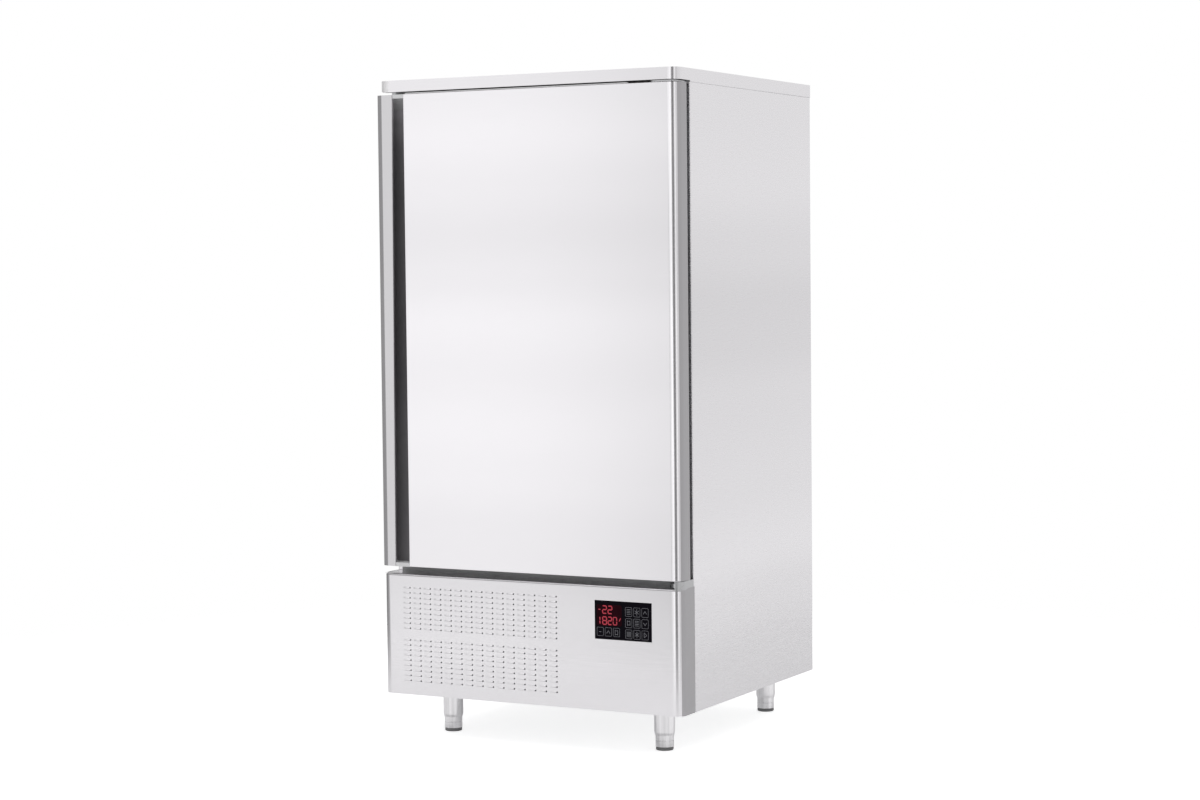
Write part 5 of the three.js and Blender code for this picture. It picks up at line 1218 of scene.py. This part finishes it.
# %% Fins and hairpins
def finned_coil(name, solid, pitch, tube_rows, tube_step):
    low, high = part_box(solid)
    count = int((high.x - low.x - 0.028) / pitch)
    inset = (high.x - low.x - pitch * (count - 1)) / 2
    x, thick = low.x + inset, 0.25 * MM
    fin = extruded(name + "_fins", oblong(low.y, high.y, low.z, high.z), x, x + thick, "X")
    repeated(fin, rows_and_columns, columns=count, rows=1, fields=1, column_step=(pitch, 0, 0),
             row_step=(0, 0, 0), field_step=(0, 0, 0), finish=fin_aluminium)
    fitted(fin, "cabinet", "coil_fins", solid)
    levels = int((high.z - low.z - 0.03) / tube_step)
    deep = (high.y - low.y) / tube_rows
    tube = spun(name + "_tubes", [(0, 0), (5 * MM, 0), (5 * MM, high.x - low.x - 2 * MM),
                                  (0, high.x - low.x - 2 * MM)], (0, 0, 0), "Z", 10)
    tube.data.transform(Matrix.Translation((low.x + 1 * MM, low.y + deep / 2, low.z + 0.02))
                        @ Matrix.Rotation(math.pi / 2, 4, "Y"))
    repeated(tube, rows_and_columns, columns=1, rows=levels, fields=tube_rows, column_step=(0, 0, 0),
             row_step=(0, 0, tube_step), field_step=(0, deep, 0), finish=copper)
    fitted(smooth(tube, 50), "cabinet", "copper")
    return count


print("evaporator fins", finned_coil("evaporator", "evaporator_coil", 5 * MM, 3, 30 * MM))
print("condenser fins", finned_coil("condenser", "condenser_coil", 3.4 * MM, 2, 26 * MM))

# %% [markdown]
# ## The machine space
# Behind the slots stand the compressor, a welded steel can, the liquid receiver, the pipes and
# the electrical box. They are hardly seen, but the back view and the gaps show them.

# %% Compressor and receiver
low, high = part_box("compressor")
x, y = (low.x + high.x) / 2, (low.y + high.y) / 2
r, h, z = 88 * MM, 214 * MM, low.z
can = spun("compressor_can", [
    (0, z + 12 * MM), (r * 0.72, z + 12 * MM), (r * 0.9, z + 22 * MM), (r, z + 50 * MM), (r, z + h * 0.54),
    (r * 1.03, z + h * 0.55), (r * 1.04, z + h * 0.57), (r * 1.04, z + h * 0.59), (r * 1.01, z + h * 0.6),
    (r, z + h * 0.62), (r * 0.985, z + h * 0.74), (r * 0.92, z + h * 0.85), (r * 0.76, z + h * 0.93),
    (r * 0.5, z + h * 0.98), (0, z + h)], (x, y, 0), steps=64)
fitted(smooth(painted(can, black_enamel), 40), "cabinet", "black_paint", "compressor")
reach = r * 0.95
plate = extruded("compressor_feet", rounded_box(x - reach, x + reach, y - reach, y + reach, 14 * MM),
                 z + 10 * MM, z + 14 * MM)
softened(plate, 0.0008, sharper_than=50)
fitted(smooth(painted(baked(plate), black_enamel)), "cabinet", "black_paint", "compressor")
grommet = spun("compressor_grommets", [
    (0, z), (9 * MM, z), (9 * MM, z + 3 * MM), (7 * MM, z + 5 * MM), (9 * MM, z + 7 * MM),
    (9 * MM, z + 10 * MM), (0, z + 10 * MM)], (x - reach * 0.84, y - reach * 0.84, 0), steps=20)
repeated(grommet, rows_and_columns, columns=2, rows=2, fields=1, column_step=(2 * reach * 0.84, 0, 0),
         row_step=(0, 2 * reach * 0.84, 0), field_step=(0, 0, 0), finish=pad_rubber)
fitted(smooth(grommet), "cabinet", "black_paint", "compressor")
print("compressor", round(2000 * r), "mm across")

# %% Receiver, pipes, boxes and gland
low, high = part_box("liquid_receiver")
x, y, z, top = (low.x + high.x) / 2, (low.y + high.y) / 2, low.z, high.z
r = 42 * MM
receiver = spun("receiver_can", [
    (0, z + 8 * MM), (r * 0.6, z + 10 * MM), (r * 0.9, z + 18 * MM), (r, z + 28 * MM), (r, top - 20 * MM),
    (r * 0.9, top - 9 * MM), (r * 0.6, top - 2 * MM), (0, top)], (x, y, 0), steps=48)
ring = spun("receiver_ring", [(r * 0.82, z), (r * 0.92, z), (r * 0.92, z + 16 * MM), (r * 0.82, z + 16 * MM),
                              (r * 0.82, z)], (x, y, 0), steps=48)
for piece in (receiver, ring):
    fitted(smooth(painted(piece, black_enamel), 40), "cabinet", "black_paint", "liquid_receiver")
for solid in ("discharge_pipe", "suction_pipe"):
    pipe = copy_of(solid, solid + "_tube")
    fitted(smooth(painted(pipe, copper), 70), "cabinet", "copper", solid)
for solid, coat, slot, width in (
        ("electric_box", grey_plastic, "grey_plastic", 0.0020),
        ("control_box", black_plastic, "black_plastic", 0.0016),
        ("condenser_shroud", zinc, "zinc", 0.0006), ("cable_gland", black_plastic, "black_plastic", 0.0005)):
    part = copy_of(solid, solid + "_part")
    softened(part, width, shortest=0.004, sharper_than=50, segments=3)
    fitted(smooth(painted(baked(part), coat), 40), "cabinet", slot, solid)
print("pieces so far", len(PIECES))

# %% [markdown]
# ## Screws
# The back sheets are held by flat-headed screws in even rows, and the fan wall by six. One
# screw head is spun, sunk almost flush, and repeated.

# %% Screws
def screw_row(name, body, slot, first, columns, rows, step_x, step_z, outward, coat):
    x, y, z = first
    head = spun(name, [
        (0, 0.35 * MM * outward), (2.6 * MM, 0.32 * MM * outward), (3.6 * MM, 0.1 * MM * outward),
        (3.8 * MM, -0.9 * MM * outward), (0, -0.9 * MM * outward)], (x, y, z), "Y", 20)
    repeated(head, rows_and_columns, columns=columns, rows=rows, fields=1, column_step=(step_x, 0, 0),
             row_step=(0, 0, step_z), field_step=(0, 0, 0), finish=coat)
    fitted(smooth(head, 40), body, slot)
    return columns * rows


low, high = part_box("back_panel")
print("back screws", screw_row("back_screws", "cabinet", "zinc", (low.x + 0.012, high.y, low.z + 0.03),
                               2, 7, high.x - low.x - 0.024, (high.z - low.z - 0.06) / 6, 1, cut_edge))
low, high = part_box("rear_vent_panel")
print("vent screws", screw_row("vent_screws", "cabinet", "zinc", (low.x + 0.012, high.y, low.z + 0.02),
                               2, 3, high.x - low.x - 0.024, (high.z - low.z - 0.04) / 2, 1, cut_edge))
low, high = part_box("fan_wall")
print("cowl screws", screw_row("cowl_screws", "cabinet", "liner_steel", (low.x + 0.018, low.y, low.z + 0.03),
                               2, 3, high.x - low.x - 0.036, (high.z - low.z - 0.06) / 2, -1, cut_edge))

# %% [markdown]
# ## Solids that stay
# The foam and the deck are hidden between the sheets, and their solids are right as they are.
# They only need their finish.

# %% Finishes of the solids that stay
for solid, coat in (("insulation", foam), ("door_insulation", foam), ("deck_plate", zinc)):
    painted(frame["nodes"][solid], coat)
shown = [name for name, solid in frame["nodes"].items() if not solid.hide_render]
print("solids still shown", shown)

# %% [markdown]
# ## The floor
# The floor is a pale disc that fades into the white room. To the camera it adds enough of its own
# light to meet the white background, and keeps the soft shadow under the legs.

# %% Floor
FLOOR_RADIUS, FADE_FROM = 2.4, 0.9
floor = spun("studio_floor", [(0, 0), (FLOOR_RADIUS, 0)], (0, 0, 0), steps=96)
floor_finish = bpy.data.materials.new("studio_floor")
floor_finish.use_nodes = True
tree = floor_finish.node_tree
shader = tree.nodes["Principled BSDF"]
place = node(tree, "ShaderNodeTexCoord").outputs["Object"]
mottle = node(tree, "ShaderNodeTexNoise", {"Vector": place, "Scale": 3.0, "Detail": 2.0})
tone = node(tree, "ShaderNodeMapRange", {0: mottle.outputs["Fac"], 3: 0.83, 4: 0.87})
tree.links.new(tone.outputs[0], shader.inputs["Base Color"])
shader.inputs["Roughness"].default_value = 0.9
shader.inputs["Specular IOR Level"].default_value = 0.0
ray = node(tree, "ShaderNodeLightPath")
seen = node(tree, "ShaderNodeMath", {0: ray.outputs["Is Camera Ray"], 1: ray.outputs["Is Transmission Ray"]},
            operation="MAXIMUM")
FLOOR_LIFT, MIRRORED_LIFT = 0.68, 0.25
mirrored = node(tree, "ShaderNodeMath", {0: ray.outputs["Is Glossy Ray"], 1: MIRRORED_LIFT},
                operation="MULTIPLY")
lift = node(tree, "ShaderNodeMath", {0: seen.outputs[0], 1: FLOOR_LIFT, 2: mirrored.outputs[0]},
            operation="MULTIPLY_ADD")
reach = node(tree, "ShaderNodeVectorMath", {0: place}, operation="LENGTH")
rim = node(tree, "ShaderNodeMapRange", {
    0: reach.outputs["Value"], 1: FADE_FROM, 2: FLOOR_RADIUS, 3: 1.0, 4: 0.0},
    interpolation_type="SMOOTHSTEP")
tree.links.new(rim.outputs[0], shader.inputs["Alpha"])
shader.inputs["Emission Color"].default_value = (1, 1, 1, 1)
tree.links.new(lift.outputs[0], shader.inputs["Emission Strength"])
painted(floor, floor_finish)
floor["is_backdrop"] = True
bpy.context.scene.view_settings.view_transform = "Standard"
print("floor radius", FLOOR_RADIUS, "m")

# %% [markdown]
# ## Sizes and the end
# The dressed model must fill the same box as the solids.

# %% Gather the sizes and print the dressed box
size = {"cad": [list(corner) for corner in cad_box], "visual": [list(corner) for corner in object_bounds()]}
print("visual box mm", [[round(1000 * value, 1) for value in corner] for corner in size["visual"]])
